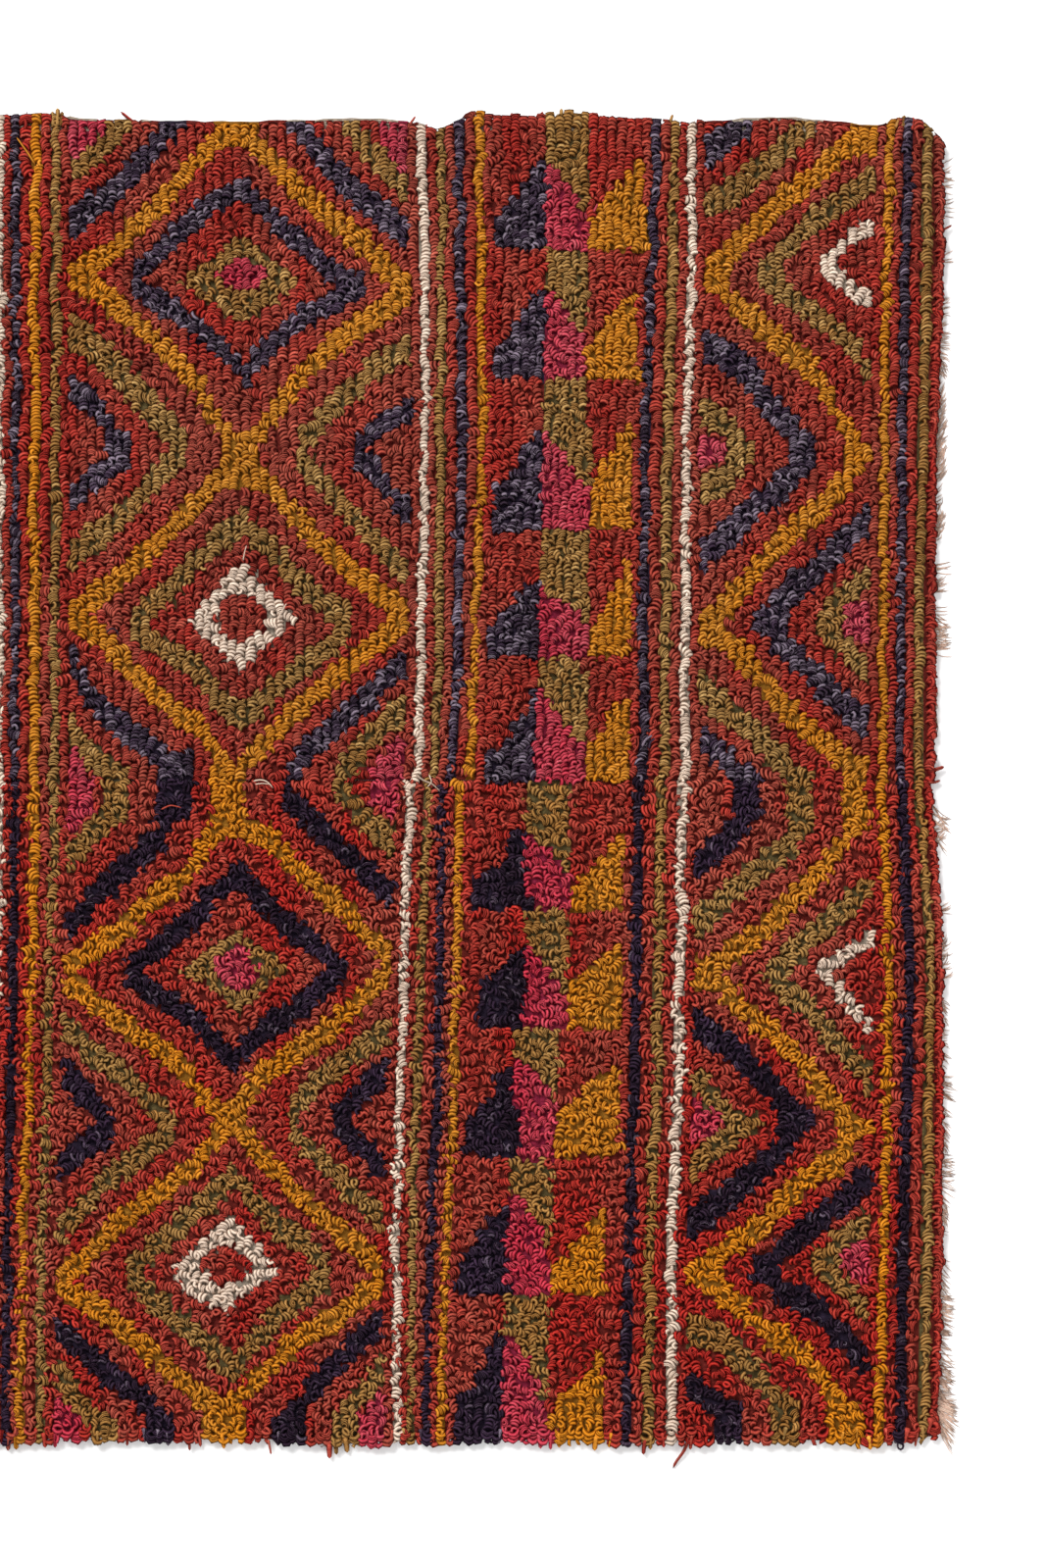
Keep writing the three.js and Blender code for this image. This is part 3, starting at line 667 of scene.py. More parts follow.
# Where each arch stands, how it turns and bends, and how high and far it reaches.
def poseArches(panel, arches):
    row, k, first, size = arches["row"], arches["k"], arches["first"], arches["size"]
    startX, startY = arches["x"], arches["y"]
    side = sideOf[panel]
    count = pile["archesInRow"]
    tidier = np.where(np.isin(row, list(stripes)), tangle["onStripes"], 1)

    def ofBundle(seed):
        return 2 * hashed(row, first, seeds[seed]) - 1

    def ofArch(seed):
        return 2 * hashed(row, k, seeds[seed]) - 1

    def ofPatch(width, seed):
        return smoothNoise(startX / width, startY / width, seeds[seed])

    within = side * ((arches["index"] + 0.5) / size - 0.5)  # from the bundle's lower end to its upper end
    tangled = tangle["level"][panel] + tangle["patches"] * ofPatch(tangle["patch"], "tangle")
    tangled = np.clip(tangled, 0, 1) * tidier
    curl = hashed(row, k, seeds["curl"]) < curls["share"] * tangled
    curl = curl | ((within < curls["lowFrom"]) & (hashed(row, first, seeds["lowCurl"]) < curls["lowShare"]))

    turned = pile["turn"] * ofBundle("turn") + pile["lean"] * ofPatch(pile["leanPatch"], "lean")
    turned = turned + tangle["turn"] * np.clip(tangled - tangle["turnFrom"], 0, 1) * ofBundle("tangledTurn")
    sideways = hashed(row, first, seeds["sideways"]) < pile["sideways"][panel] * tidier
    turned = turned + np.where(sideways, pile["sidewaysTurn"] * np.sign(ofBundle("sidewaysSign")), 0)
    spin = pile["spin"] + turned + pile["fan"] * within * (1 + ofBundle("fan"))
    spin = spin + archVaries["spin"] * ofArch("spin") + tangled * tangle["spin"] * ofArch("tangledSpin")
    spin = spin + np.where(curl, curls["spin"] * ofArch("curlSpin"), 0)
    bend = pile["bend"] + archVaries["bend"] * ofArch("bend")
    bend = bend + tangle["bend"] * tangled * ofArch("tangledBend")
    bend = np.where(curl, curls["bend"] + curls["bendVaries"] * ofArch("curlBend"), bend)

    radius = 1 + archVaries["radius"] * ofArch("radius") + bundleVaries["radius"] * ofBundle("bundleRadius")
    radius = pile["radius"] * radius - tangle["radius"] * tangled * (1 + ofArch("tangledRadius")) / 2
    gap = (rowX(panel, row + 1, startY) - rowX(panel, row - 1, startY)) / 2
    radius = radius * np.clip(gap / rowPitch, *pile["radiusRange"])
    radius = np.where(curl, curls["radius"] * (1 + curls["radiusVaries"] * ofArch("curlRadius")), radius)
    width = pile["halfWidth"] * (1 + archVaries["width"] * ofArch("width"))
    high = pile["height"] + pile["bundleRise"] * (0.5 - 4 * within * within)
    high = high + bundleVaries["height"] * ofBundle("bundleHeight") + archVaries["height"] * ofArch("height")
    high = high + tangle["height"] * tangled * ofArch("tangledHeight")

    inner = np.clip((count - k) / 12, 0, 1) * np.clip((lastRow - np.abs(row)) / 3, 0, 1)  # 0 at the edges
    apart = within * size * panelWidth / count  # from the middle of the bundle
    x = startX + pile["wave"] * smoothNoise(row * 3.7, startY / 24, seeds["wave"])
    x = x + bundleVaries["x"] * ofBundle("bundleX") + tangle["x"] * tangled * ofArch("tangledX")
    x = x + inner * pile["drift"] * ofPatch(pile["driftPatch"], "driftX") - inner * np.sin(turned) * apart
    y = startY - inner * (1 - np.cos(turned)) * apart - pile["bundlePinch"] * apart
    y = y + tangle["y"] * tangled * ofArch("tangledY")
    y = y + inner * pile["drift"] * ofPatch(pile["driftPatch"], "driftY")

    outside = np.clip((k - (count - rim["arches"])) / 4, 0, 1)  # 1 at the long edge
    endways = np.clip((np.abs(row) - (lastRow - ends["rows"])) / ends["rows"], 0, 1)  # 1 at a short end
    atRim = (outside > rim["from"]) & ~(hashed(row, k, seeds["rimMissing"]) < rim["missing"])
    outwards = 0 if side > 0 else math.pi
    rimSpin = outwards + rim["bundleSpin"] * ofBundle("rimBundle") + rim["archSpin"] * ofArch("rimArch")
    spin = np.where(atRim, rimSpin, spin)
    bend = np.where(atRim, pile["bend"] + rim["bend"][panel], bend)
    ragged = (endways > ends["from"]) & (hashed(row, k, seeds["ragged"]) < ends["ragged"])
    spin = np.where(ragged, np.sign(row) * (ends["spin"] + ends["spinVaries"] * ofArch("raggedSpin")), spin)
    stretch = np.full(len(row), rim["stretch"][panel])
    if panel == "upper":
        for start, end, most in rim["spikes"]:
            stretch = np.where((x > start) & (x < end), most, stretch)
    reach = outside * (0.7 + 0.6 * hashed(row, first, seeds["rimStretch"]))
    stretch = np.where(atRim, 1 + (stretch - 1) * reach, 1)
    stretch = np.where(ragged, 1 + ends["stretch"] * hashed(row, k, seeds["raggedStretch"]), stretch)
    return {"x": x, "y": y, "spin": spin, "bend": bend, "radius": radius, "width": width, "high": high,
            "stretch": stretch, "outside": outside, "endways": endways}


archProfile = {
    "turns": (-0.5, -0.27, 0, 0.27, 0.5),  # share of the bend at each ring, the first and the last being tips
    "rises": (0.6, 0.94, 1.0, 0.94, 0.6),  # share of the height
}


# Corner points of every arch, and flat coordinates for the yarn pattern.
def archPoints(panel, arches, pose):
    row = arches["row"]
    spin, radius, stretch = pose["spin"], pose["radius"], pose["stretch"]
    lowered = 1 - rim["lower"] * pose["outside"] - ends["lower"] * pose["endways"]
    corners = 2 * len(archProfile["turns"]) - 1
    points = np.zeros((len(row), corners, 3))
    flat = np.zeros((len(row), corners, 2))
    place = 0
    for t, rise in zip(archProfile["turns"], archProfile["rises"]):
        angle = pose["bend"] * t
        for w in ((0,) if abs(t) == 0.5 else (-1, 1)):
            reach = radius + w * pose["width"]
            along, across = reach * np.sin(angle), reach * np.cos(angle)
            flat[:, place, 0], flat[:, place, 1] = along, across
            across = (across - pile["middle"] * radius) * stretch
            endReach = np.sign(row) * pose["endways"] * ends["reach"] * rise
            droop = sideOf[panel] * pose["outside"] * rim["droop"] * rise
            points[:, place, 0] = pose["x"] + along * np.cos(spin) - across * np.sin(spin) + endReach
            points[:, place, 1] = (pose["y"] + along * np.sin(spin) + across * np.cos(spin)
                                   + pile["nap"] * rise + droop)
            points[:, place, 2] = pile["foot"] + (pose["high"] - pile["foot"]) * rise * lowered
            points[:, place, 2] += w * pile["edgeTilt"] - abs(w) * pile["edgeDrop"]
            place += 1
    points[:, -1, 0], points[:, -1, 1], points[:, -1, 2] = pose["x"], pose["y"], pile["foot"]
    if panel == "upper":
        cutLevel(panel, arches, stretch, points)
    return points, flat


def cutLevel(panel, arches, stretch, points):
    row, k, first = arches["row"], arches["k"], arches["first"]
    long = hashed(row, first, seeds["longCut"]) < upperCut["longShare"]
    long = long & (stretch > upperCut["longStretch"])
    loose = upperCut["bundle"] * (2 * hashed(row, first, seeds["cutBundle"]) - 1)
    loose = loose + upperCut["arch"] * (2 * hashed(row, k, seeds["cutArch"]) - 1) + upperCut["long"] * long
    scallop = upperCut["scallop"] * (1 - 0.5 * hashed(row, k, seeds["scallop"]))
    x = points[..., 0]
    limit = outerY(panel, x) - bareAt(x) + loose[:, None]
    limit = limit - np.abs(np.sin(x * upperCut["scallopPitch"])) * scallop[:, None]
    points[..., 1] = np.minimum(points[..., 1], limit)


# Patches of another dye lot: x, y, reach along x and y, and shift. The red is browner where the shift is
# positive, and deeper where it is negative. The second list makes patches darker.
dyePatches = [
    (180, 340, 50, 330, 0.4), (180, -380, 50, 250, 0.35), (450, 180, 48, 450, 0.4), (5, 315, 60, 75, 0.5),
    (540, -125, 60, 130, 0.4), (450, -510, 140, 130, -0.7), (270, 0, 36, 600, -0.3),
    (-190, 370, 55, 280, -0.35), (45, -60, 90, 55, -0.35), (540, -310, 60, 60, -0.45),
    (-450, 300, 60, 300, 0.35), (-560, -300, 90, 200, -0.4),
]
darkPatches = [(-87, 397, 9, 12, -1.2), (350, -160, 40, 60, -0.2)]
dyeing = {  # how much brightness and dye lot vary
    "lot": 0.4,  # brightness by bands of yarn lots
    "patch": 0.4,
    "bundle": 0.3,
    "arch": 0.6,
    "bandDye": 0.55,  # dye lot by bands
    "bundleDye": 0.45,
}


def patchesAt(patches, x, y):
    return sum(shift * np.exp(-((x - px) / reachX) ** 2 - ((y - py) / reachY) ** 2)
               for px, py, reachX, reachY, shift in patches)


# Brightness and dye lot of each arch, from bands of yarn lots, bundles and single arches, and painted panel
# shade and light.
def archTints(panel, arches):
    row, k, first, x, y = (arches[key] for key in ("row", "k", "first", "x", "y"))
    lot = 0.5 * smoothNoise(row / 3.1, y / 240, seeds["lot"])
    lot = lot + 0.35 * smoothNoise(row, y / 90, seeds["rowLot"])
    patch = 0.4 * smoothNoise(x / 60, y / 60, seeds["patch"])
    tint = dyeing["lot"] * lot + dyeing["patch"] * patch
    tint = tint + dyeing["bundle"] * (hashed(row, first, seeds["bundleTint"]) - 0.5)
    tint = tint + dyeing["arch"] * (hashed(row, k, seeds["archTint"]) - 0.5)
    # painted shade on the upper panel and painted light on the lower, against the key light's fall-off
    tint = tint + pile["shade"][panel] + patchesAt(darkPatches, x, y)
    tint = tint + pile["navyShade"][panel] * (arches["colour"] == navy)
    dye = 0.5 + dyeing["bandDye"] * smoothNoise(row / 2.3, y / 150, seeds["dye"])
    dye = dye + dyeing["bundleDye"] * (hashed(row, first, seeds["bundleDye"]) - 0.5)
    dye = dye + patchesAt(dyePatches, x, y)
    return tint, np.clip(dye, 0, 1), np.full(len(row), pile["mixed"][panel])


# Faces of one closed arch, with each corner's place in its cell of the baked pictures.
def shapeOfArch(rings):
    last, keel = 2 * rings + 1, 2 * rings + 2
    left = [0] + [2 + 2 * r for r in range(rings)] + [last]
    right = [0] + [1 + 2 * r for r in range(rings)] + [last]
    steps = [0, *[(r + 0.6) / (rings + 0.2) for r in range(rings)], 1]
    faces, cells = [(0, right[1], left[1])], [((0.5, 0), (0.85, steps[1]), (0.15, steps[1]))]
    for r in range(1, rings):
        a, b = steps[r], steps[r + 1]
        faces.append((right[r], right[r + 1], left[r + 1], left[r]))
        cells.append(((0.85, a), (0.85, b), (0.15, b), (0.15, a)))
    faces.append((right[rings], last, left[rings]))
    cells.append(((0.85, steps[rings]), (0.5, 1), (0.15, steps[rings])))
    for r in range(rings + 1):
        a, b = steps[r], steps[r + 1]
        faces.append((right[r + 1], right[r], keel))
        cells.append(((0.87, b), (0.87, a), (1, 0.5)))
        faces.append((left[r], left[r + 1], keel))
        cells.append(((0.13, a), (0.13, b), (0, 0.5)))
    return faces, cells


# A piece made of many copies of one small mesh, each with its own points.
def meshOf(name, points, faces, uvs, values, material):
    n, each = points.shape[:2]
    sizes = np.array([len(f) for f in faces])
    corner = np.array([i for f in faces for i in f])
    mesh = bpy.data.meshes.new(name)
    mesh.vertices.add(n * each)
    mesh.vertices.foreach_set("co", ((points + [middleX, seamY, 0]) * mm).astype(np.float32).ravel())
    mesh.loops.add(n * len(corner))
    index = corner[None] + each * np.arange(n)[:, None]
    mesh.loops.foreach_set("vertex_index", index.astype(np.int32).ravel())
    starts = np.concatenate([[0], np.cumsum(sizes)[:-1]])
    mesh.polygons.add(n * len(faces))
    starts = starts[None] + len(corner) * np.arange(n)[:, None]
    mesh.polygons.foreach_set("loop_start", starts.astype(np.int32).ravel())
    mesh.update(calc_edges=True)
    mesh.polygons.foreach_set("use_smooth", np.ones(n * len(faces), bool))
    for label, coordinates in uvs.items():
        layer = mesh.uv_layers.new(name=label)
        uv = np.broadcast_to(coordinates(corner), (n, len(corner), 2))
        layer.data.foreach_set("uv", uv.astype(np.float32).ravel())
    for label, amounts in values.items():
        layer = mesh.attributes.new(label, "FLOAT", "POINT")
        layer.data.foreach_set("value", np.repeat(amounts, each).astype(np.float32))
    mesh.materials.append(material)
    piece = bpy.data.objects.new(name, mesh)
    bpy.context.scene.collection.objects.link(piece)
    return piece


# Each of n small meshes gets its own square of the baked pictures.
def bakeCells(n, cells):
    grid = math.ceil(math.sqrt(n))
    inside = np.array([c for face in cells for c in face])
    corner = np.stack([np.arange(n) % grid, np.arange(n) // grid], axis=1)
    return (corner[:, None, :] + 0.06 + 0.88 * inside[None]) / grid


def buildArches(name, points, flat, values, material):
    faces, cells = shapeOfArch((points.shape[1] - 3) // 2)
    uvs = {"OFBake": lambda corner: bakeCells(len(points), cells), "yarn": lambda corner: flat[:, corner]}
    return meshOf(name, points, faces, uvs, values, material)


# Materials. The yarn group is used by every yarn.

# Nodes stand in rows, in the order in which they are made.
def addNode(tree, kind, **values):
    node = tree.nodes.new(kind)
    number = len(tree.nodes)
    node.location = (number % 10 * 190 - 1900, number // 10 * -260)
    for key, value in values.items():
        setattr(node, key, value)
    return node


def setSocket(tree, socket, value):
    if isinstance(value, (int, float, tuple)):
        socket.default_value = value
    else:
        tree.links.new(value, socket)


def calc(tree, operation, a, b=None, clamp=False):
    node = addNode(tree, "ShaderNodeMath", operation=operation, use_clamp=clamp)
    setSocket(tree, node.inputs[0], a)
    if b is not None:
        setSocket(tree, node.inputs[1], b)
    return node.outputs[0]


def plus(tree, a, b):
    return calc(tree, "ADD", a, b)


def minus(tree, a, b, clamp=False):
    return calc(tree, "SUBTRACT", a, b, clamp)


def times(tree, a, b, clamp=False):
    return calc(tree, "MULTIPLY", a, b, clamp)


# Humps from 0 to 1, one for each whole number.
def humps(tree, a):
    return calc(tree, "ABSOLUTE", calc(tree, "SINE", times(tree, a, math.pi)))


def mixColours(tree, share, a, b):
    node = addNode(tree, "ShaderNodeMix", data_type="RGBA", blend_type="MIX")
    for number, value in ((0, share), (6, a), (7, b)):
        setSocket(tree, node.inputs[number], value)
    return node.outputs[2]


def mixNumbers(tree, share, a, b):
    node = addNode(tree, "ShaderNodeMix")
    for number, value in ((0, share), (2, a), (3, b)):
        setSocket(tree, node.inputs[number], value)
    return node.outputs[0]


def vectorOf(tree, *parts):
    node = addNode(tree, "ShaderNodeCombineXYZ")
    for socket, part in zip(node.inputs, parts):
        setSocket(tree, socket, part)
    return node.outputs[0]


# A random number for each value of a vector.
def chanceOf(tree, vector):
    node = addNode(tree, "ShaderNodeTexWhiteNoise", noise_dimensions="3D")
    tree.links.new(vector, node.inputs["Vector"])
    return node.outputs["Value"]


def noiseOf(tree, vector, scale, detail):
    node = addNode(tree, "ShaderNodeTexNoise")
    node.inputs["Scale"].default_value = scale
    node.inputs["Detail"].default_value = detail
    tree.links.new(vector, node.inputs["Vector"])
    return node.outputs["Fac"]


def splitUv(tree, name):
    uv = addNode(tree, "ShaderNodeUVMap", uv_map=name)
    split = addNode(tree, "ShaderNodeSeparateXYZ")
    tree.links.new(uv.outputs[0], split.inputs[0])
    return uv.outputs[0], split.outputs[0], split.outputs[1]


def pointValue(tree, name):
    return addNode(tree, "ShaderNodeAttribute", attribute_name=name).outputs["Fac"]


def newGroup(name, inputs, outputs):
    group = bpy.data.node_groups.new(name, "ShaderNodeTree")
    for label, kind, value in inputs:
        socket = group.interface.new_socket(label, in_out="INPUT", socket_type=kind)
        socket.default_value = value
    for label, kind in outputs:
        group.interface.new_socket(label, in_out="OUTPUT", socket_type=kind)
    return group, addNode(group, "NodeGroupInput"), addNode(group, "NodeGroupOutput")


yarnPattern = {
    "round": 0.9,  # how full a single strand's section is
    "plyHeight": 0.74,
    "twistHeight": 0.05,
    "fibreHeight": 0.2,
    "twistAlong": 0.75,
    "twistAcross": 1.3,
    "fibreAlong": 0.45,
    "fibreAcross": 3.2,
    "fibreScale": 1.6,
    "fibreDetail": 3,
    "chanceWeight": 0.75,  # heather comes by whole arches
    "fibreWeight": 0.6,  # and by single fibres
    "heatherFrom": 1.1,
    "heatherEdge": 4.0,
    "crestPower": 4.0,
    "crestPlain": 0.3,  # share of the painted crest highlight kept where no pale wool is spun in
    # painted shade: a strand's sides are darker than its crest by this much
    "profileShade": 0.55,
    "fibreShade": 1.34,
    "grooveFrom": 0.95,
    "groovePower": 1.3,
    "grooveDepth": 1.6,
    "roughness": 0.78,
    "fibreRoughness": 0.2,
    "bump": 1.3,  # millimetres
    "specular": 0.06,
}


# Yarn of one strand, or of two side by side: dye lots, heather, ply lines and fibre, with a painted highlight
# on the crest and painted shade on the sides and in the grooves.
def makeYarnGroup():
    look = yarnPattern
    colour, number = "NodeSocketColor", "NodeSocketFloat"
    tree, source, result = newGroup("pliedYarn", [
        ("Colour", colour, (0.5, 0.1, 0.05, 1)),
        ("Second Lot", colour, (0.4, 0.12, 0.1, 1)),
        ("Groove Shade Colour", colour, (0.1, 0.01, 0.01, 1)),
        ("Heather And Highlight", colour, (0.6, 0.5, 0.4, 1)),
        ("Heather Share", number, 0.1),
        ("Tint Depth", number, 0.35),
        ("Two Ply", number, 0.5),
        ("Crest Highlight", number, 0.6),
    ], [("Colour", colour), ("Height", number), ("Roughness", number)])
    given = source.outputs
    link = tree.links.new
    flat, flatX, flatY = splitUv(tree, "yarn")
    distance = addNode(tree, "ShaderNodeVectorMath", operation="LENGTH")
    link(flat, distance.inputs[0])
    bend, dye, tint, mixed = (pointValue(tree, name) for name in ("bend", "dye", "tint", "mixed"))

    # Place on the yarn: across from -1 to 1, and along in millimetres.
    across = calc(tree, "DIVIDE", minus(tree, distance.outputs["Value"], bend), pile["halfWidth"])
    along = times(tree, calc(tree, "ARCTAN2", flatX, flatY), bend)

    # Section, fibres and twist, which make the height. The large factors only set the yarns' random
    # numbers far apart.
    oneStrand = minus(tree, 1.0, times(tree, across, across), clamp=True)
    oneStrand = calc(tree, "POWER", oneStrand, look["round"])
    lot = vectorOf(tree, times(tree, tint, 441.0), times(tree, dye, 283.0))
    isPlied = calc(tree, "LESS_THAN", chanceOf(tree, lot), given["Two Ply"])
    profile = mixNumbers(tree, isPlied, oneStrand, humps(tree, across))
    streaks = vectorOf(tree, times(tree, along, look["fibreAlong"]), times(tree, across, look["fibreAcross"]),
                       times(tree, tint, 91.0))
    fibre = noiseOf(tree, streaks, look["fibreScale"], look["fibreDetail"])
    twist = plus(tree, times(tree, along, look["twistAlong"]), times(tree, across, look["twistAcross"]))
    height = times(tree, profile, look["plyHeight"])
    height = plus(tree, height, times(tree, humps(tree, twist), look["twistHeight"]))
    height = plus(tree, height, times(tree, fibre, look["fibreHeight"]))

    # Dye lots, with pale wool in some strands, and a painted highlight in the heather colour on the crest.
    outer = calc(tree, "GREATER_THAN", across, 0.0)
    strand = vectorOf(tree, times(tree, tint, 613.0), times(tree, dye, 377.0),
                      times(tree, outer, times(tree, isPlied, 5.0)))
    chance = chanceOf(tree, strand)
    base = mixColours(tree, dye, given["Colour"], given["Second Lot"])
    wisp = plus(tree, times(tree, chance, look["chanceWeight"]), times(tree, fibre, look["fibreWeight"]))
    share = times(tree, given["Heather Share"], mixed)
    wisp = minus(tree, wisp, minus(tree, look["heatherFrom"], share))
    wisp = times(tree, wisp, look["heatherEdge"], clamp=True)
    base = mixColours(tree, wisp, base, given["Heather And Highlight"])
    # painted highlight: each strand's crest is mixed towards the heather colour
    crestHighlight = times(tree, calc(tree, "POWER", profile, look["crestPower"]), fibre)
    highlightScale = plus(tree, look["crestPlain"], times(tree, mixed, 1 - look["crestPlain"]))
    crestHighlight = times(tree, times(tree, crestHighlight, highlightScale), given["Crest Highlight"])
    base = mixColours(tree, crestHighlight, base, given["Heather And Highlight"])

    # Brightness, with painted shade on a strand's sides and painted light on its crest, and painted shade in
    # the groove beside the crest.
    shade = times(tree, plus(tree, tint, minus(tree, chance, 0.5)), given["Tint Depth"])
    shade = plus(tree, shade, times(tree, profile, look["profileShade"]))
    shade = plus(tree, shade, times(tree, fibre, look["fibreShade"]))
    bright = addNode(tree, "ShaderNodeVectorMath", operation="SCALE")
    link(base, bright.inputs[0])
    link(shade, bright.inputs["Scale"])
    # painted shade: where the yarn's surface lies low, its colour goes towards the groove colour
    grooveShade = calc(tree, "POWER", minus(tree, look["grooveFrom"], height, clamp=True), look["groovePower"])
    grooveShade = times(tree, grooveShade, look["grooveDepth"], clamp=True)
    link(mixColours(tree, grooveShade, bright.outputs[0], given["Groove Shade Colour"]), result.inputs["Colour"])
    link(height, result.inputs["Height"])
    rough = plus(tree, times(tree, fibre, look["fibreRoughness"]), look["roughness"])
    link(rough, result.inputs["Roughness"])
    return tree


yarnGroup = makeYarnGroup()

yarns = {  # linear colours; heather is also the painted crest highlight, groove is painted shade
    "red": {"colour": (0.305, 0.011, 0.008), "second": (0.275, 0.05, 0.032),
            "grooveShadeColour": (0.085, 0.003, 0.004), "heatherAndHighlight": (0.48, 0.13, 0.085), "heatherShare": 0.12,
            "tintDepth": 0.5, "twoPly": 0.25, "crestHighlight": 0.3},
    "gold": {"colour": (0.46, 0.15, 0.004), "second": (0.415, 0.156, 0.014),
             "grooveShadeColour": (0.225, 0.065, 0.002), "heatherAndHighlight": (0.61, 0.3, 0.065), "heatherShare": 0.15,
             "tintDepth": 0.35, "twoPly": 0.25, "crestHighlight": 0.3},
    "olive": {"colour": (0.24, 0.102, 0.022), "second": (0.265, 0.142, 0.042),
              "grooveShadeColour": (0.06, 0.02, 0.003), "heatherAndHighlight": (0.45, 0.29, 0.11), "heatherShare": 0.2,
              "tintDepth": 0.4, "twoPly": 0.25, "crestHighlight": 0.36},
    "navy": {"colour": (0.012, 0.003, 0.011), "second": (0.03, 0.013, 0.034),
             "grooveShadeColour": (0.003, 0.001, 0.003), "heatherAndHighlight": (0.18, 0.14, 0.18), "heatherShare": 0.42,
             "tintDepth": 0.5, "twoPly": 0.25, "crestHighlight": 0.22},
    "rose": {"colour": (0.395, 0.017, 0.038), "second": (0.395, 0.045, 0.066),
             "grooveShadeColour": (0.10, 0.002, 0.008), "heatherAndHighlight": (0.60, 0.18, 0.2), "heatherShare": 0.12,
             "tintDepth": 0.4, "twoPly": 0.25, "crestHighlight": 0.25},
    "ivory": {"colour": (0.57, 0.44, 0.345), "second": (0.51, 0.39, 0.305), "grooveShadeColour": (0.42, 0.28, 0.2),
              "heatherAndHighlight": (0.80, 0.68, 0.56), "heatherShare": 0.2, "tintDepth": 0.25, "twoPly": 0.25,
              "crestHighlight": 0.4},
    "warp": {"colour": (0.62, 0.36, 0.26), "second": (0.6, 0.44, 0.34), "grooveShadeColour": (0.3, 0.15, 0.1),
             "heatherAndHighlight": (0.6, 0.5, 0.42), "heatherShare": 0.2, "tintDepth": 0.35, "twoPly": 0.25,
             "crestHighlight": 0.5},
}
yarnInputs = {"Colour": "colour", "Second Lot": "second", "Groove Shade Colour": "grooveShadeColour", "Heather And Highlight": "heatherAndHighlight",
              "Heather Share": "heatherShare", "Tint Depth": "tintDepth", "Two Ply": "twoPly",
              "Crest Highlight": "crestHighlight"}


def bumpFrom(tree, height, strength, distance, shader):
    bump = addNode(tree, "ShaderNodeBump")
    bump.inputs["Strength"].default_value = strength
    bump.inputs["Distance"].default_value = distance * mm
    tree.links.new(height, bump.inputs["Height"])
    tree.links.new(bump.outputs["Normal"], shader.inputs["Normal"])


def makeYarn(name):
    material = bpy.data.materials.new(name + "Yarn")
    material.use_nodes = True
    tree = material.node_tree
    shader = tree.nodes["Principled BSDF"]
    group = addNode(tree, "ShaderNodeGroup", node_tree=yarnGroup)
    for label, key in yarnInputs.items():
        value = yarns[name][key]
        group.inputs[label].default_value = (*value, 1) if isinstance(value, tuple) else value
    tree.links.new(group.outputs["Colour"], shader.inputs["Base Color"])
    tree.links.new(group.outputs["Roughness"], shader.inputs["Roughness"])
    bumpFrom(tree, group.outputs["Height"], 1.0, yarnPattern["bump"], shader)
    shader.inputs["Specular IOR Level"].default_value = yarnPattern["specular"]
    return material


yarnMaterials = {name: makeYarn(name) for name in yarns}
print("materials made")


def keep(piece, node):
    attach(piece, "root")
    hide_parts(node)


maxArches = 11000  # in one piece
for panel in ("upper", "lower"):
    arches = layArches(panel)
    pose = poseArches(panel, arches)
    points, flat = archPoints(panel, arches, pose)
    tint, dye, mixed = archTints(panel, arches)
    values = {"bend": pose["radius"], "tint": tint, "dye": dye, "mixed": mixed}
    for c, name in enumerate(palette):
        found = np.nonzero(arches["colour"] == c)[0]
        parts = max(1, math.ceil(len(found) / maxArches))
        for part, chosen in enumerate(np.array_split(found, parts)):
            label = f"pile_{name}_{panel}" + (f"_{part + 1}" if parts > 1 else "")
            mine = {key: amounts[chosen] for key, amounts in values.items()}
            piece = buildArches(label, points[chosen], flat[chosen], mine, yarnMaterials[name])
            keep(piece, "panel_" + panel)
    print("pile of the", panel, "panel laid")

# The ground weave: a flat sheet under each pile, with knot backs in rows underneath.

ground = {
    "thickness": 3.2,
    "seamGap": 0.3,
    "alongCells": 50,
    "bed": 6.6,  # how high the knots fill the pile from below
    "bedWaves": 0.35,
    "edgeInset": {"upper": 4, "lower": 3},  # how far the sheet stays under the pile at the long edges
    "endReach": 5.7,  # past the last row, at each end
    "bareEdge": 8,  # where the upper side has no knots
    # painted shade on the top of the sheet, deep under the pile
    "topShade": 0.55,
    "weftColour": (0.29, 0.235, 0.18),
    "weftShade": (0.16, 0.12, 0.09),
    "weftsInRow": 9,
    "knotHalf": 0.27,  # of the row pitch
    "fibreScale": 1100,
    "bump": 0.7,  # millimetres
    "bumpStrength": 0.9,
    "roughness": 0.92,
    "specular": 0.15,
}
knotColours = {"red": (0.2, 0.02, 0.014), "gold": (0.4, 0.17, 0.015), "olive": (0.15, 0.11, 0.04),
               "navy": (0.03, 0.017, 0.04), "rose": (0.34, 0.02, 0.06), "ivory": (0.5, 0.42, 0.33)}


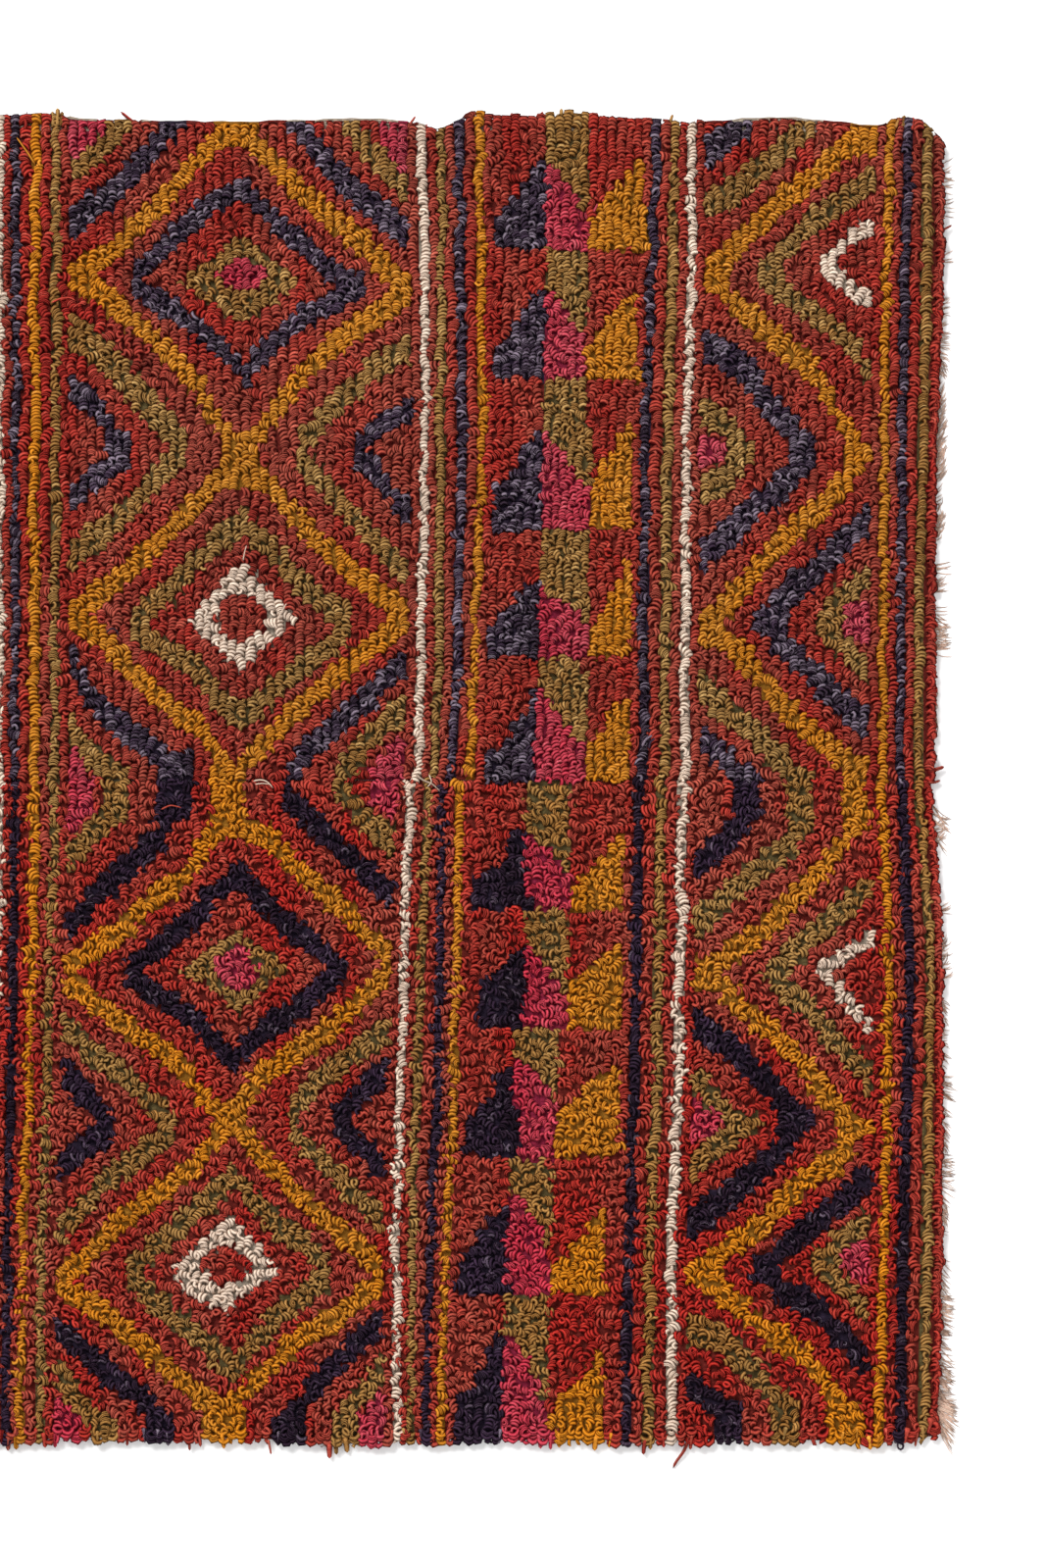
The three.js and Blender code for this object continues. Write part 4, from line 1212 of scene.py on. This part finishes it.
# Points of one side of the sheet, with the row and the y of each.
def groundLayer(panel, z):
    side = sideOf[panel]
    gap, inset = ground["seamGap"], ground["edgeInset"][panel]
    lines = np.arange(-lastRow - 0.5, lastRow + 1.5)
    row, share = np.meshgrid(lines, np.linspace(0, 1, ground["alongCells"] + 1), indexing="ij")
    y = side * (gap + share * (panelWidth - gap))
    clipped = np.clip(row, -lastRow, lastRow)
    x = rowX(panel, clipped.ravel(), y.ravel()).reshape(row.shape)
    x = x + (row - clipped) * 2 * ground["endReach"]
    hidden = inset if panel == "lower" else inset - inset * bareAt(x) / bareWidth
    fray = 0.5 * np.sin(x * 1.3) + 0.4 * np.sin(x * 0.47)
    y = side * (gap + share * (outerY(panel, x) - hidden + fray - gap))
    if z:
        inside = np.clip(np.minimum((1 - share) * 60, lastRow + 0.5 - np.abs(row)), 0, 1)
        z = z + (ground["bed"] - z) * inside
        z = z + ground["bedWaves"] * smoothNoise(row / 5, y / 40, seeds["ground"])
    return np.stack([x, y, np.full(x.shape, z)], axis=2), row, y


# Faces of a closed sheet of two grids of n by m points.
def sheetFaces(n, m, flip):
    low = np.arange(n * m).reshape(n, m)
    high = n * m + low
    faces = []

    def quads(grid, turned):
        a, b = grid[:-1, :-1].ravel(), grid[1:, :-1].ravel()
        p, q = grid[1:, 1:].ravel(), grid[:-1, 1:].ravel()
        faces.extend(zip(a, q, p, b) if turned else zip(a, b, p, q))

    def wall(lowLine, highLine, turned):
        sides = zip(lowLine[:-1], lowLine[1:], highLine[1:], highLine[:-1])
        faces.extend(f[::-1] if turned else f for f in sides)

    quads(low, not flip)
    quads(high, flip)
    wall(low[:, 0], high[:, 0], flip)
    wall(low[:, -1], high[:, -1], not flip)
    wall(low[0], high[0], not flip)
    wall(low[-1], high[-1], flip)
    return [[int(i) for i in f] for f in faces]


# The knots' colours, face by face, darkened on the top side as painted shade under the pile. Alpha is 0 where
# knots cover the face.
def groundColours(panel, row, y, faceCount):
    colours = np.ones((faceCount, 4))
    colours[:, :3] = ground["weftColour"]
    rows = (row[:-1, :-1] + 0.5).ravel()
    middles = ((y[:-1, :-1] + y[1:, 1:]) / 2).ravel()
    knots = chart(panel, np.clip(np.round(rows), -lastRow, lastRow), middles)
    table = np.array([knotColours[name] for name in palette])
    under, over = colours[:len(knots)], colours[len(knots):2 * len(knots)]
    under[:, :3] = table[knots]
    # painted shade: the top of the sheet lies deep under the pile, so its knot colours are darkened
    over[:, :3] = table[knots] * ground["topShade"]
    over[:, :3][middles > panelWidth - ground["bareEdge"]] = ground["weftColour"]
    over[:, 3] = 0
    return colours


def buildGround(panel):
    under, row, y = groundLayer(panel, 0.0)
    over = groundLayer(panel, ground["thickness"])[0]
    points = np.concatenate([under.reshape(-1, 3), over.reshape(-1, 3)])
    faces = sheetFaces(*row.shape, panel == "lower")
    mesh = bpy.data.meshes.new("ground_" + panel)
    mesh.from_pydata(((points + [middleX, seamY, 0]) * mm).tolist(), [], faces)
    knots = mesh.attributes.new("knot", "FLOAT_COLOR", "FACE")
    colours = groundColours(panel, row, y, len(faces))
    knots.data.foreach_set("color", colours.astype(np.float32).ravel())
    uv = mesh.uv_layers.new(name="weave")
    place = np.concatenate([np.stack([row, y / knotPitch], axis=2).reshape(-1, 2),
                            (over[..., :2] / [rowPitch, knotPitch]).reshape(-1, 2)])
    index = np.zeros(len(mesh.loops), np.int32)
    mesh.loops.foreach_get("vertex_index", index)
    uv.data.foreach_set("uv", place[index].astype(np.float32).ravel())
    piece = bpy.data.objects.new("ground_" + panel, mesh)
    bpy.context.scene.collection.objects.link(piece)
    return piece


# Beige wefts in fine lines along y, with rows of knot backs in their own colours.
def makeWeave():
    material = bpy.data.materials.new("groundWeave")
    material.use_nodes = True
    tree = material.node_tree
    shader = tree.nodes["Principled BSDF"]
    across, along = splitUv(tree, "weave")[1:]
    fromRow = calc(tree, "ABSOLUTE", minus(tree, across, calc(tree, "ROUND", across)))
    knot = times(tree, minus(tree, ground["knotHalf"], fromRow), 12.0, clamp=True)
    wefts = times(tree, across, float(ground["weftsInRow"]))
    beads = plus(tree, times(tree, along, 2.0), times(tree, calc(tree, "ROUND", wefts), 0.5))
    weft = times(tree, humps(tree, wefts), plus(tree, times(tree, humps(tree, beads), 0.6), 0.4))
    place = addNode(tree, "ShaderNodeTexCoord").outputs["Object"]
    fibre = noiseOf(tree, place, ground["fibreScale"], 2)
    height = mixNumbers(tree, knot, weft, plus(tree, humps(tree, along), 0.35))
    height = plus(tree, height, times(tree, fibre, 0.3))
    colour = addNode(tree, "ShaderNodeAttribute", attribute_name="knot")
    weftColour = mixColours(tree, weft, (*ground["weftShade"], 1), (*ground["weftColour"], 1))
    knotted = calc(tree, "MAXIMUM", knot, minus(tree, 1.0, colour.outputs["Alpha"]))
    cloth = mixColours(tree, knotted, weftColour, colour.outputs["Color"])
    tree.links.new(cloth, shader.inputs["Base Color"])
    bumpFrom(tree, height, ground["bumpStrength"], ground["bump"], shader)
    shader.inputs["Roughness"].default_value = ground["roughness"]
    shader.inputs["Specular IOR Level"].default_value = ground["specular"]
    return material


weave = makeWeave()
grounds = {}
for panel in ("upper", "lower"):
    grounds[panel] = buildGround(panel)
    grounds[panel].data.materials.append(weave)
    keep(grounds[panel], "panel_" + panel)
print("ground weave laid")

# The warp ends: thin threads in clumps beyond the two short ends, resting on the floor.

warpEnds = {
    "thread": 0.5,  # half width
    "threadVaries": 0.25,
    "longer": 4.5,
    "shorter": 3.0,
    "start": 655,
    "startVaries": 3,
    "startZ": 2.0,
    "straight": 8.0,  # how far a thread runs before it turns
    "floorGap": 0.1,
    "spread": 0.5,
    "steps": 6,
    "patternRadius": 900.0,  # a bend so wide that the yarn pattern runs straight
}
clumps = [  # high and low y, x of the tips, lean (up is positive), hook, and number of threads
    (587, 568, 688, 0.0, 0.3, 14), (554, 545, 689, -0.1, 0.2, 6), (499, 496, 687, 0.0, 0.1, 4),
    (457, 444, 683.5, 0.1, 0.2, 14), (437, 417, 684, -0.2, 0.3, 18), (411, 390, 684, 0.1, -1.3, 24),
    (383, 360, 679, 0.8, 0.4, 12), (361, 343, 682, 0.8, 0.3, 18), (337, 311, 683, 0.7, 0.4, 36),
    (310, 283, 684, 0.5, 1.2, 30), (271, 262, 678, 0.2, 0.5, 6), (257, 229, 683, 0.2, 1.6, 28),
    (207, 198, 685, 0.2, 0.1, 9), (191, 180, 682, 0.0, 0.5, 10), (166, 150, 682.5, -0.3, 0.2, 10),
    (149, 122, 685, 0.1, 0.4, 30), (98, 61, 677, -0.9, -1.2, 24),
    (-24, -39, 683, -0.7, 0.4, 14), (-43, -65, 681, 0.3, 0.4, 14), (-124, -130, 686, 0.0, 0.2, 6),
    (-155, -177, 685, -0.1, 1.5, 22), (-187, -194, 689, 0.3, 1.0, 3), (-209, -229, 685, -0.1, -1.3, 24),
    (-235, -257, 683, -0.5, 0.4, 18), (-267, -275, 684, -0.1, -1.4, 8), (-280, -299, 688, -0.5, 0.3, 22),
    (-309, -326, 683, -0.8, 0.3, 14), (-334, -351, 686, -0.1, -1.6, 22), (-356, -388, 689, -0.35, 0.2, 30),
    (-393, -413, 687, -0.6, -0.8, 28), (-419, -434, 681, -0.3, 0.3, 6), (-449, -488, 683.5, -0.9, 0.3, 28),
    (-492, -515, 688.5, -0.3, 0.2, 28), (-518, -540, 686, -0.5, 0.2, 22), (-543, -571, 688.5, -0.7, 0.3, 32),
    (-573, -584, 687, -0.5, 0.2, 12), (-584, -598, 689, -0.6, 0.3, 34), (-590, -606, 692, -0.75, 0.2, 50),
]


# Faces of a thin three-sided thread with pointed ends, and its cells for the baked pictures.
def shapeOfThread(rings):
    last = 3 * rings + 1
    faces, cells = [], []
    steps = [0, *[(r + 1) / (rings + 1) for r in range(rings)], 1]
    for j in range(3):
        a, b = j, (j + 1) % 3
        u0, u1 = j / 3 + 0.03, (j + 1) / 3 - 0.03
        faces.append((0, 1 + b, 1 + a))
        cells.append((((u0 + u1) / 2, 0), (u1, steps[1]), (u0, steps[1])))
        for r in range(rings - 1):
            p = 1 + 3 * r
            faces.append((p + a, p + b, p + 3 + b, p + 3 + a))
            cells.append(((u0, steps[r + 1]), (u1, steps[r + 1]), (u1, steps[r + 2]), (u0, steps[r + 2])))
        p = 1 + 3 * (rings - 1)
        faces.append((p + a, p + b, last))
        cells.append(((u0, steps[rings]), (u1, steps[rings]), ((u0 + u1) / 2, 1)))
    return faces, cells


# Thin threads along paths of equal length, the first and last points being tips.
def buildThreads(name, paths, widths, tint, dye, material):
    n, count = paths.shape[:2]
    rings = count - 2
    ahead = paths[:, 2:] - paths[:, :-2]
    ahead /= np.maximum(np.linalg.norm(ahead, axis=2, keepdims=True), 1e-9)
    beside = np.cross(ahead, np.array([0, 0, 1.0]))
    beside /= np.maximum(np.linalg.norm(beside, axis=2, keepdims=True), 1e-6)
    lift = np.cross(beside, ahead)
    middle = paths[:, 1:-1]
    w = np.broadcast_to(widths.reshape(n, -1, 1), (n, rings, 1))
    ring = np.stack([middle - 0.87 * w * beside - 0.5 * w * lift, middle + 0.87 * w * beside - 0.5 * w * lift,
                     middle + w * lift], axis=2)
    points = np.concatenate([paths[:, :1], ring.reshape(n, rings * 3, 3), paths[:, -1:]], axis=1)
    faces, cells = shapeOfThread(rings)
    lengths = np.linalg.norm(np.diff(paths, axis=1), axis=2)
    along = np.concatenate([np.zeros((n, 1)), np.cumsum(lengths, axis=1)], axis=1)
    radius = warpEnds["patternRadius"]
    across = np.concatenate([[0], np.tile((-0.8, 0.8, 0.1), rings), [0]]) * pile["halfWidth"]
    along = along[:, np.concatenate([[0], np.repeat(np.arange(1, rings + 1), 3), [rings + 1]])] / radius
    flat = np.stack([(radius + across) * np.sin(along), (radius + across) * np.cos(along)], axis=2)
    uvs = {"OFBake": lambda corner: bakeCells(n, cells), "yarn": lambda corner: flat[:, corner]}
    values = {"bend": np.full(n, radius), "tint": tint, "dye": dye, "mixed": np.ones(n)}
    return meshOf(name, points, faces, uvs, values, material)


# Paths of the warp ends of one panel at one end. The far end has the same clumps, with other threads.
def warpThreads(panel, end):
    side = sideOf[panel]
    steps, floorZ = warpEnds["steps"], warpEnds["thread"] + warpEnds["floorGap"]
    paths, widths = [], []
    mine = [clump for clump in clumps if clump[0] * side > 0]
    for number, (high, low, tip, lean, hook, count) in enumerate(mine):
        for j in range(count):
            key = (number + (0 if end == "right" else 50), j, side)
            a, b, c, d = (2 * hashed(*key, seeds[seed]) - 1
                          for seed in ("warpShare", "warpStart", "warpWidth", "warpAngle"))
            share = (j + 0.5 + 0.8 * a) / count
            y = high + (low - high) * share
            startX = warpEnds["start"] + warpEnds["startVaries"] * b
            shorter = warpEnds["shorter"] * (1 + c) * (1 if count > 4 else 0.3)
            reach = tip + warpEnds["longer"] - startX - shorter
            angle = lean + warpEnds["spread"] * d
            curve = hook * (0.7 + 0.5 * abs(a))
            points = []
            x = startX
            for i in range(steps + 1):
                t = i / steps
                z = warpEnds["startZ"] + (floorZ - warpEnds["startZ"]) * min(1, t * 1.6)
                points.append((x, y, z + 0.5 * max(0, b) * t))
                bent = angle + curve * max(0, (t - 0.45) * 2.2)
                now = 0 if x < startX + warpEnds["straight"] else bent
                step = (reach / steps) / max(0.55, math.cos(angle * 0.8))
                x += step * math.cos(now)
                y += step * math.sin(now)
            paths.append(points)
            widths.append(warpEnds["thread"] * (1 + warpEnds["threadVaries"] * c))
    paths = np.array(paths)
    if end == "left":
        paths[..., 0] *= -1
    return paths, np.array(widths)


for panel in ("upper", "lower"):
    for end in ("left", "right"):
        paths, widths = warpThreads(panel, end)
        keys = np.arange(len(paths))
        tint = 1.2 * (hashed(keys, 1, seeds["warpTint"]) - 0.5)
        dye = hashed(keys, 2, seeds["warpDye"])
        piece = buildThreads(f"warp_ends_{end}_{panel}", paths, widths, tint, dye, yarnMaterials["warp"])
        keep(piece, f"fringe_{end}_{panel}")
print("warp ends laid")

# Single loose yarns, and loops hanging out at the edges: colour, half width, z of the start and of the end,
# and the places that the yarn runs through.
looseYarns = [
    ("gold", 1.2, 13, 14, ((-191.2, 588.8), (-196.9, 598.1), (-206.2, 611.2), (-209.1, 615))),
    ("gold", 0.9, 13, 14.5, ((-189.4, 187.5), (-193.1, 181.9), (-191.2, 175.3), (-187.5, 178.1),
     (-189.4, 170.6))),
    ("gold", 2, 10, 5, ((595.3, -618.8), (595.3, -627.2), (595.3, -632.8))),
    ("gold", 2, 10, 5, ((198, -620.6), (197.9, -629.1), (197.8, -634.7))),
    ("gold", 2, 10, 5, ((-206.2, -621.6), (-205.6, -630), (-205.3, -635.6))),
    ("gold", 2.6, 10, 5, ((582.3, -621.6), (580.9, -630), (580.3, -635.6))),
    ("gold", 1.9, 10, 5, ((309.4, -624.4), (310, -632.8), (310.3, -638.4))),
    ("gold", 1.8, 10, 5, ((360.3, -624.4), (358.8, -632.8), (358.1, -638.4))),
    ("gold", 1.8, 10, 5, ((-13.4, -625.3), (-11.9, -633.8), (-11.2, -639.4))),
    ("gold", 2.6, 10, 5, ((616.9, -625.3), (615.6, -633.8), (615, -639.4))),
    ("gold", 2.2, 10, 5, ((-211.2, -626.2), (-210.7, -634.7), (-210.5, -640.3))),
    ("gold", 2.8, 10, 5, ((606, -626.2), (607.7, -634.7), (608.4, -640.3))),
    ("gold", 2.3, 10, 5, ((345.6, -627.2), (344.5, -635.6), (344.1, -641.2))),
    ("ivory", 0.6, 13, 14.5, ((7.5, 210), (9.4, 219.4), (11.2, 225))),
    ("ivory", 0.6, 13, 14.5, ((40.3, 152.8), (45, 162.2), (49.7, 169.7))),
    ("ivory", 0.8, 13, 15, ((172.5, 5.6), (180.9, -0.9), (188.4, -2.8), (196.9, -11.2))),
    ("ivory", 0.6, 13, 14, ((185.6, 5.6), (188.4, -1.9), (183.8, -6.6))),
    ("ivory", 0.75, 13, 15, ((16.9, -0.9), (24.4, 0.9), (30.9, -0.9), (36.6, -7.5))),
    ("ivory", 0.5, 13, 14.5, ((18.8, -3.8), (26.2, -2.8), (33.8, -3.8))),
    ("ivory", 0.5, 6, 1.5, ((87.2, -622.5), (85.3, -635.6), (82.5, -641.2), (80.6, -638.4))),
    ("navy", 0.5, 9, 6, ((-202.5, 630), (-201.2, 635.6), (-199.7, 641.2))),
    ("navy", 0.5, 9, 6, ((-217.5, 628.1), (-216.2, 632.3), (-214.7, 636.6))),
    ("navy", 0.8, 13.5, 14.5, ((-123.8, 140.6), (-118.1, 146.2), (-112.5, 143.4), (-111.6, 136.9))),
    ("navy", 1.4, 13, 15.5, ((389.1, 31.9), (392.8, 39.4), (399.4, 43.1))),
    ("navy", 1.2, 13, 15, ((395.6, 30), (397.5, 37.5), (402.2, 40.3))),
    ("navy", 1.8, 10, 5, ((223.3, -618.8), (224.5, -627.2), (225, -632.8))),
    ("navy", 1.6, 10, 5, ((-87.9, -619.7), (-87.4, -628.1), (-87.2, -633.8))),
    ("navy", 1.8, 10, 5, ((55.8, -619.7), (57.4, -628.1), (58.1, -633.8))),
    ("navy", 1.8, 10, 5, ((-73.9, -620.6), (-75.3, -629.1), (-75.9, -634.7))),
    ("navy", 2, 10, 5, ((178.1, -620.6), (177.5, -629.1), (177.2, -634.7))),
    ("navy", 1.5, 10, 5, ((254.2, -620.6), (252.8, -629.1), (252.2, -634.7))),
    ("navy", 1.9, 10, 5, ((-65.6, -622.5), (-65, -630.9), (-64.7, -636.6))),
    ("navy", 1.8, 10, 5, ((42.1, -622.5), (40.9, -630.9), (40.3, -636.6))),
    ("navy", 1.1, 6, 4, ((476.2, -623.9), (477.1, -627.1), (479, -628.9), (479.3, -632), (477.8, -634.4),
     (475.4, -634.8), (473.5, -632.9), (473.2, -629.9), (474.7, -627.5), (475.3, -623.9))),
    ("navy", 1.1, 6, 4, ((465.9, -624.9), (466.8, -628), (468.7, -629.9), (469, -632.9), (467.5, -635.3),
     (465.1, -635.7), (463.2, -633.9), (462.9, -630.8), (464.3, -628.4), (465, -624.9))),
    ("navy", 1.1, 6, 4, ((375.9, -627), (377, -630.9), (379.3, -633.2), (379.7, -636.9), (377.9, -639.9),
     (374.9, -640.4), (372.5, -638.1), (372.1, -634.4), (374, -631.4), (375, -627))),
    ("navy", 1.1, 6, 4, ((244.7, -627.4), (245.3, -629.9), (246.8, -631.3), (247, -633.6),
     (245.9, -635.5), (244.1, -635.8), (242.6, -634.3), (242.3, -632), (243.5, -630.2), (243.8, -627.4))),
    ("navy", 1.1, 6, 4, ((637.5, -630.2), (638.5, -633.9), (640.7, -636.1), (641.1, -639.7),
     (639.4, -642.5), (636.5, -643), (634.3, -640.8), (633.9, -637.2), (635.6, -634.4), (636.6, -630.2))),
    ("olive", 2.4, 9, 6, ((-174.4, 626.2), (-175, 633.8), (-175.8, 641.2))),
    ("olive", 2.6, 9, 6, ((-170.6, 626.2), (-170.6, 635.4), (-170.6, 644.5))),
    ("olive", 2.2, 9, 6, ((-166.9, 626.2), (-166.7, 633.8), (-166.4, 641.2))),
    ("olive", 2.2, 9, 6, ((312.2, 626.2), (312.2, 635.2), (312.2, 644.1))),
    ("olive", 2, 9, 6, ((328.1, 626.2), (332.3, 633.8), (337.5, 641.2))),
    ("olive", 1.6, 9, 6, ((415.3, 626.2), (417, 632.3), (419.1, 638.4))),
    ("olive", 2.6, 9, 6, ((631.9, 624.4), (634, 630), (636.6, 635.6))),
    ("olive", 2.6, 9, 6, ((639.4, 624.4), (640.2, 630.9), (641.2, 637.5))),
    ("olive", 2.2, 10, 5, ((527.8, -617.8), (525.8, -626.2), (525, -631.9))),
    ("olive", 2.4, 10, 5, ((657.5, -617.8), (658.6, -626.2), (659.1, -631.9))),
    ("olive", 1.5, 10, 5, ((-120.8, -618.8), (-122.2, -627.2), (-122.8, -632.8))),
    ("olive", 1.6, 10, 5, ((161.1, -619.7), (161.2, -628.1), (161.2, -633.8))),
    ("olive", 1.8, 10, 5, ((-132.4, -622.5), (-132.3, -630.9), (-132.2, -636.6))),
    ("olive", 1.8, 10, 5, ((397.8, -626.2), (397.6, -634.7), (397.5, -640.3))),
    ("olive", 2.2, 10, 5, ((105, -629.1), (106.3, -637.5), (106.9, -643.1))),
    ("olive", 1.8, 10, 5, ((95, -630.9), (96.1, -639.4), (96.6, -645))),
    ("red", 0.9, 9, 6, ((258.8, 626.2), (261.7, 633.3), (265.3, 640.3))),
    ("red", 1.3, 9, 6, ((165, 624.4), (168.4, 630.5), (172.5, 636.6))),
    ("red", 1.8, 9, 6, ((225, 624.4), (226.7, 631.9), (228.8, 639.4))),
    ("red", 1.8, 9, 6, ((289.7, 624.4), (291.8, 632.8), (294.4, 641.2))),
    ("red", 2.4, 9, 6, ((647.8, 622.5), (648.7, 629.1), (649.7, 635.6))),
    ("red", 0.8, 9, 6, ((171.6, 620.6), (173.2, 625.8), (175.3, 630.9))),
    ("red", 0.8, 9, 6, ((179.1, 620.6), (181.2, 624.8), (183.8, 629.1))),
    ("red", 1.8, 9, 6, ((-87.2, 618.8), (-97.7, 630), (-110.6, 641.2))),
    ("red", 1.2, 9, 4, ((673.1, 525), (680.6, 528.8), (687.2, 532.5))),
    ("red", 0.8, 13.5, 14, ((-176.2, 456.6), (-166.9, 461.2), (-157.5, 462.2), (-151.9, 458.4))),
    ("red", 0.7, 13.5, 14, ((-155.6, 451.9), (-148.1, 456.6), (-142.5, 454.7))),
    ("red", 0.7, 13, 15, ((380.6, 26.2), (386.2, 33.8), (385.3, 41.2))),
    ("red", 2, 9, 5, ((663.8, 9.4), (671.2, 10.3), (679.7, 13.1))),
    ("red", 1.4, 9, 5, ((663.8, -1.9), (670.3, -1.9), (675.9, 0))),
    ("red", 0.8, 13.5, 14.5, ((-71.2, -28.1), (-61.9, -23.4), (-50.6, -26.2))),
    ("red", 0.8, 13.5, 14.5, ((-52.5, -245.6), (-45, -240.9), (-36.6, -244.7), (-31.9, -240))),
    ("red", 3, 10, 5, ((666.1, -610.3), (664.5, -618.8), (663.8, -624.4))),
    ("red", 1.6, 10, 5, ((555.4, -617.8), (554.5, -626.2), (554.1, -631.9))),
    ("red", 1.8, 10, 5, ((506.9, -618.8), (507.8, -627.2), (508.1, -632.8))),
    ("red", 1.2, 10, 5, ((-191.6, -619.7), (-191.4, -628.1), (-191.2, -633.8))),
    ("red", 0.9, 10, 5, ((-49.3, -619.7), (-50.9, -628.1), (-51.6, -633.8))),
    ("red", 1.8, 10, 5, ((543.1, -619.7), (542.2, -628.1), (541.9, -633.8))),
    ("red", 1.8, 10, 5, ((622.9, -619.7), (623.9, -628.1), (624.4, -633.8))),
    ("red", 3.2, 10, 5, ((643.8, -619.7), (642, -628.1), (641.2, -633.8))),
    ("red", 1.7, 10, 5, ((-110.8, -620.6), (-112, -629.1), (-112.5, -634.7))),
    ("red", 1.7, 9, 1.5, ((435.9, -620.6), (433.1, -635.6), (429.4, -645), (421.9, -653.4),
     (419.1, -660.9))),
    ("red", 2, 10, 5, ((-223.8, -621.6), (-224, -630), (-224.1, -635.6))),
    ("red", 1.8, 10, 5, ((15.2, -621.6), (14.4, -630), (14.1, -635.6))),
    ("red", 1.8, 10, 5, ((150.5, -621.6), (148.8, -630), (148.1, -635.6))),
    ("red", 1.7, 10, 5, ((188.7, -621.6), (189.8, -630), (190.3, -635.6))),
    ("red", 1.3, 10, 5, ((-103.2, -622.5), (-103.8, -630.9), (-104.1, -636.6))),
    ("red", 1.5, 10, 5, ((-35.7, -623.4), (-34.3, -631.9), (-33.8, -637.5))),
    ("red", 1.1, 10, 5, ((653.8, -623.4), (652.2, -631.9), (651.6, -637.5))),
    ("red", 2, 10, 5, ((-183.9, -624.4), (-183.2, -632.8), (-182.8, -638.4))),
    ("red", 1.7, 10, 5, ((408.5, -624.4), (410, -632.8), (410.6, -638.4))),
    ("red", 1.5, 10, 5, ((437.1, -626.2), (436.3, -634.7), (435.9, -640.3))),
    ("red", 1.9, 10, 5, ((-216.9, -627.2), (-218, -635.6), (-218.4, -641.2))),
    ("red", 1.2, 10, 5, ((-45.6, -627.2), (-44.5, -635.6), (-44.1, -641.2))),
    ("red", 0.9, 10, 5, ((31.2, -630.9), (33, -639.4), (33.8, -645))),
    ("red", 1.7, 10, 5, ((392.5, -630.9), (391.4, -639.4), (390.9, -645))),
    ("red", 2.1, 10, 5, ((89.7, -634.7), (89.9, -643.1), (90, -648.8))),
    ("rose", 1.3, 13, 14.5, ((343.1, 543.8), (346.9, 551.2))),
    ("rose", 1.8, 10, 5, ((126.6, -622.5), (126.6, -630.9), (126.6, -636.6))),
    ("rose", 1.8, 10, 5, ((121.2, -623.4), (120.4, -631.9), (120, -637.5))),
    ("rose", 1.7, 10, 5, ((-172.3, -624.4), (-173.1, -632.8), (-173.4, -638.4))),
    ("rose", 1.8, 10, 5, ((290.1, -625.3), (291.8, -633.8), (292.5, -639.4))),
    ("rose", 1.6, 10, 5, ((301.8, -626.2), (301.8, -634.7), (301.9, -640.3))),
]
loose = {
    "steps": 11,
    "rootWidth": 1.3,  # share of the half width
    "tipWidth": 0.9,
    "tongueZ": (10, 5),  # yarns with these heights are tongues of the rim
    "tongueReach": 1.5,  # how much further they hang out than their last place
    "tongueWidth": 1.35,
}


def isTongue(yarn):
    return yarn[2:4] == loose["tongueZ"]


# Even steps along the places of one yarn, with the corners smoothed.
def smoothPath(yarn):
    startZ, endZ, places = yarn[2:]
    places = np.array(places, float)
    if isTongue(yarn):
        places[-1, 1] -= loose["tongueReach"]
    walked = np.concatenate([[0], np.cumsum(np.linalg.norm(np.diff(places, axis=0), axis=1))])
    at = np.linspace(0, walked[-1], loose["steps"])
    x, y = np.interp(at, walked, places[:, 0]), np.interp(at, walked, places[:, 1])
    for _ in range(2):
        x[1:-1] = (x[:-2] + 2 * x[1:-1] + x[2:]) / 4
        y[1:-1] = (y[:-2] + 2 * y[1:-1] + y[2:]) / 4
    return np.stack([x, y, np.linspace(startZ, endZ, loose["steps"])], axis=1)


taper = np.linspace(loose["rootWidth"], loose["tipWidth"], loose["steps"] - 2)
for panel in ("upper", "lower"):
    for name in palette:
        mine = [yarn for yarn in looseYarns if yarn[0] == name and yarn[4][0][1] * sideOf[panel] > 0]
        if not mine:
            continue
        paths = np.array([smoothPath(yarn) for yarn in mine])
        widths = np.array([yarn[1] * (loose["tongueWidth"] if isTongue(yarn) else 1) for yarn in mine])
        keys = np.arange(len(mine))
        tint, dye = hashed(keys, 3, seeds["looseTint"]) - 0.5, hashed(keys, 4, seeds["looseDye"])
        piece = buildThreads(f"loose_{name}_{panel}", paths, widths[:, None] * taper, tint, dye,
                             yarnMaterials[name])
        keep(piece, "panel_" + panel)
print("loose yarns laid")
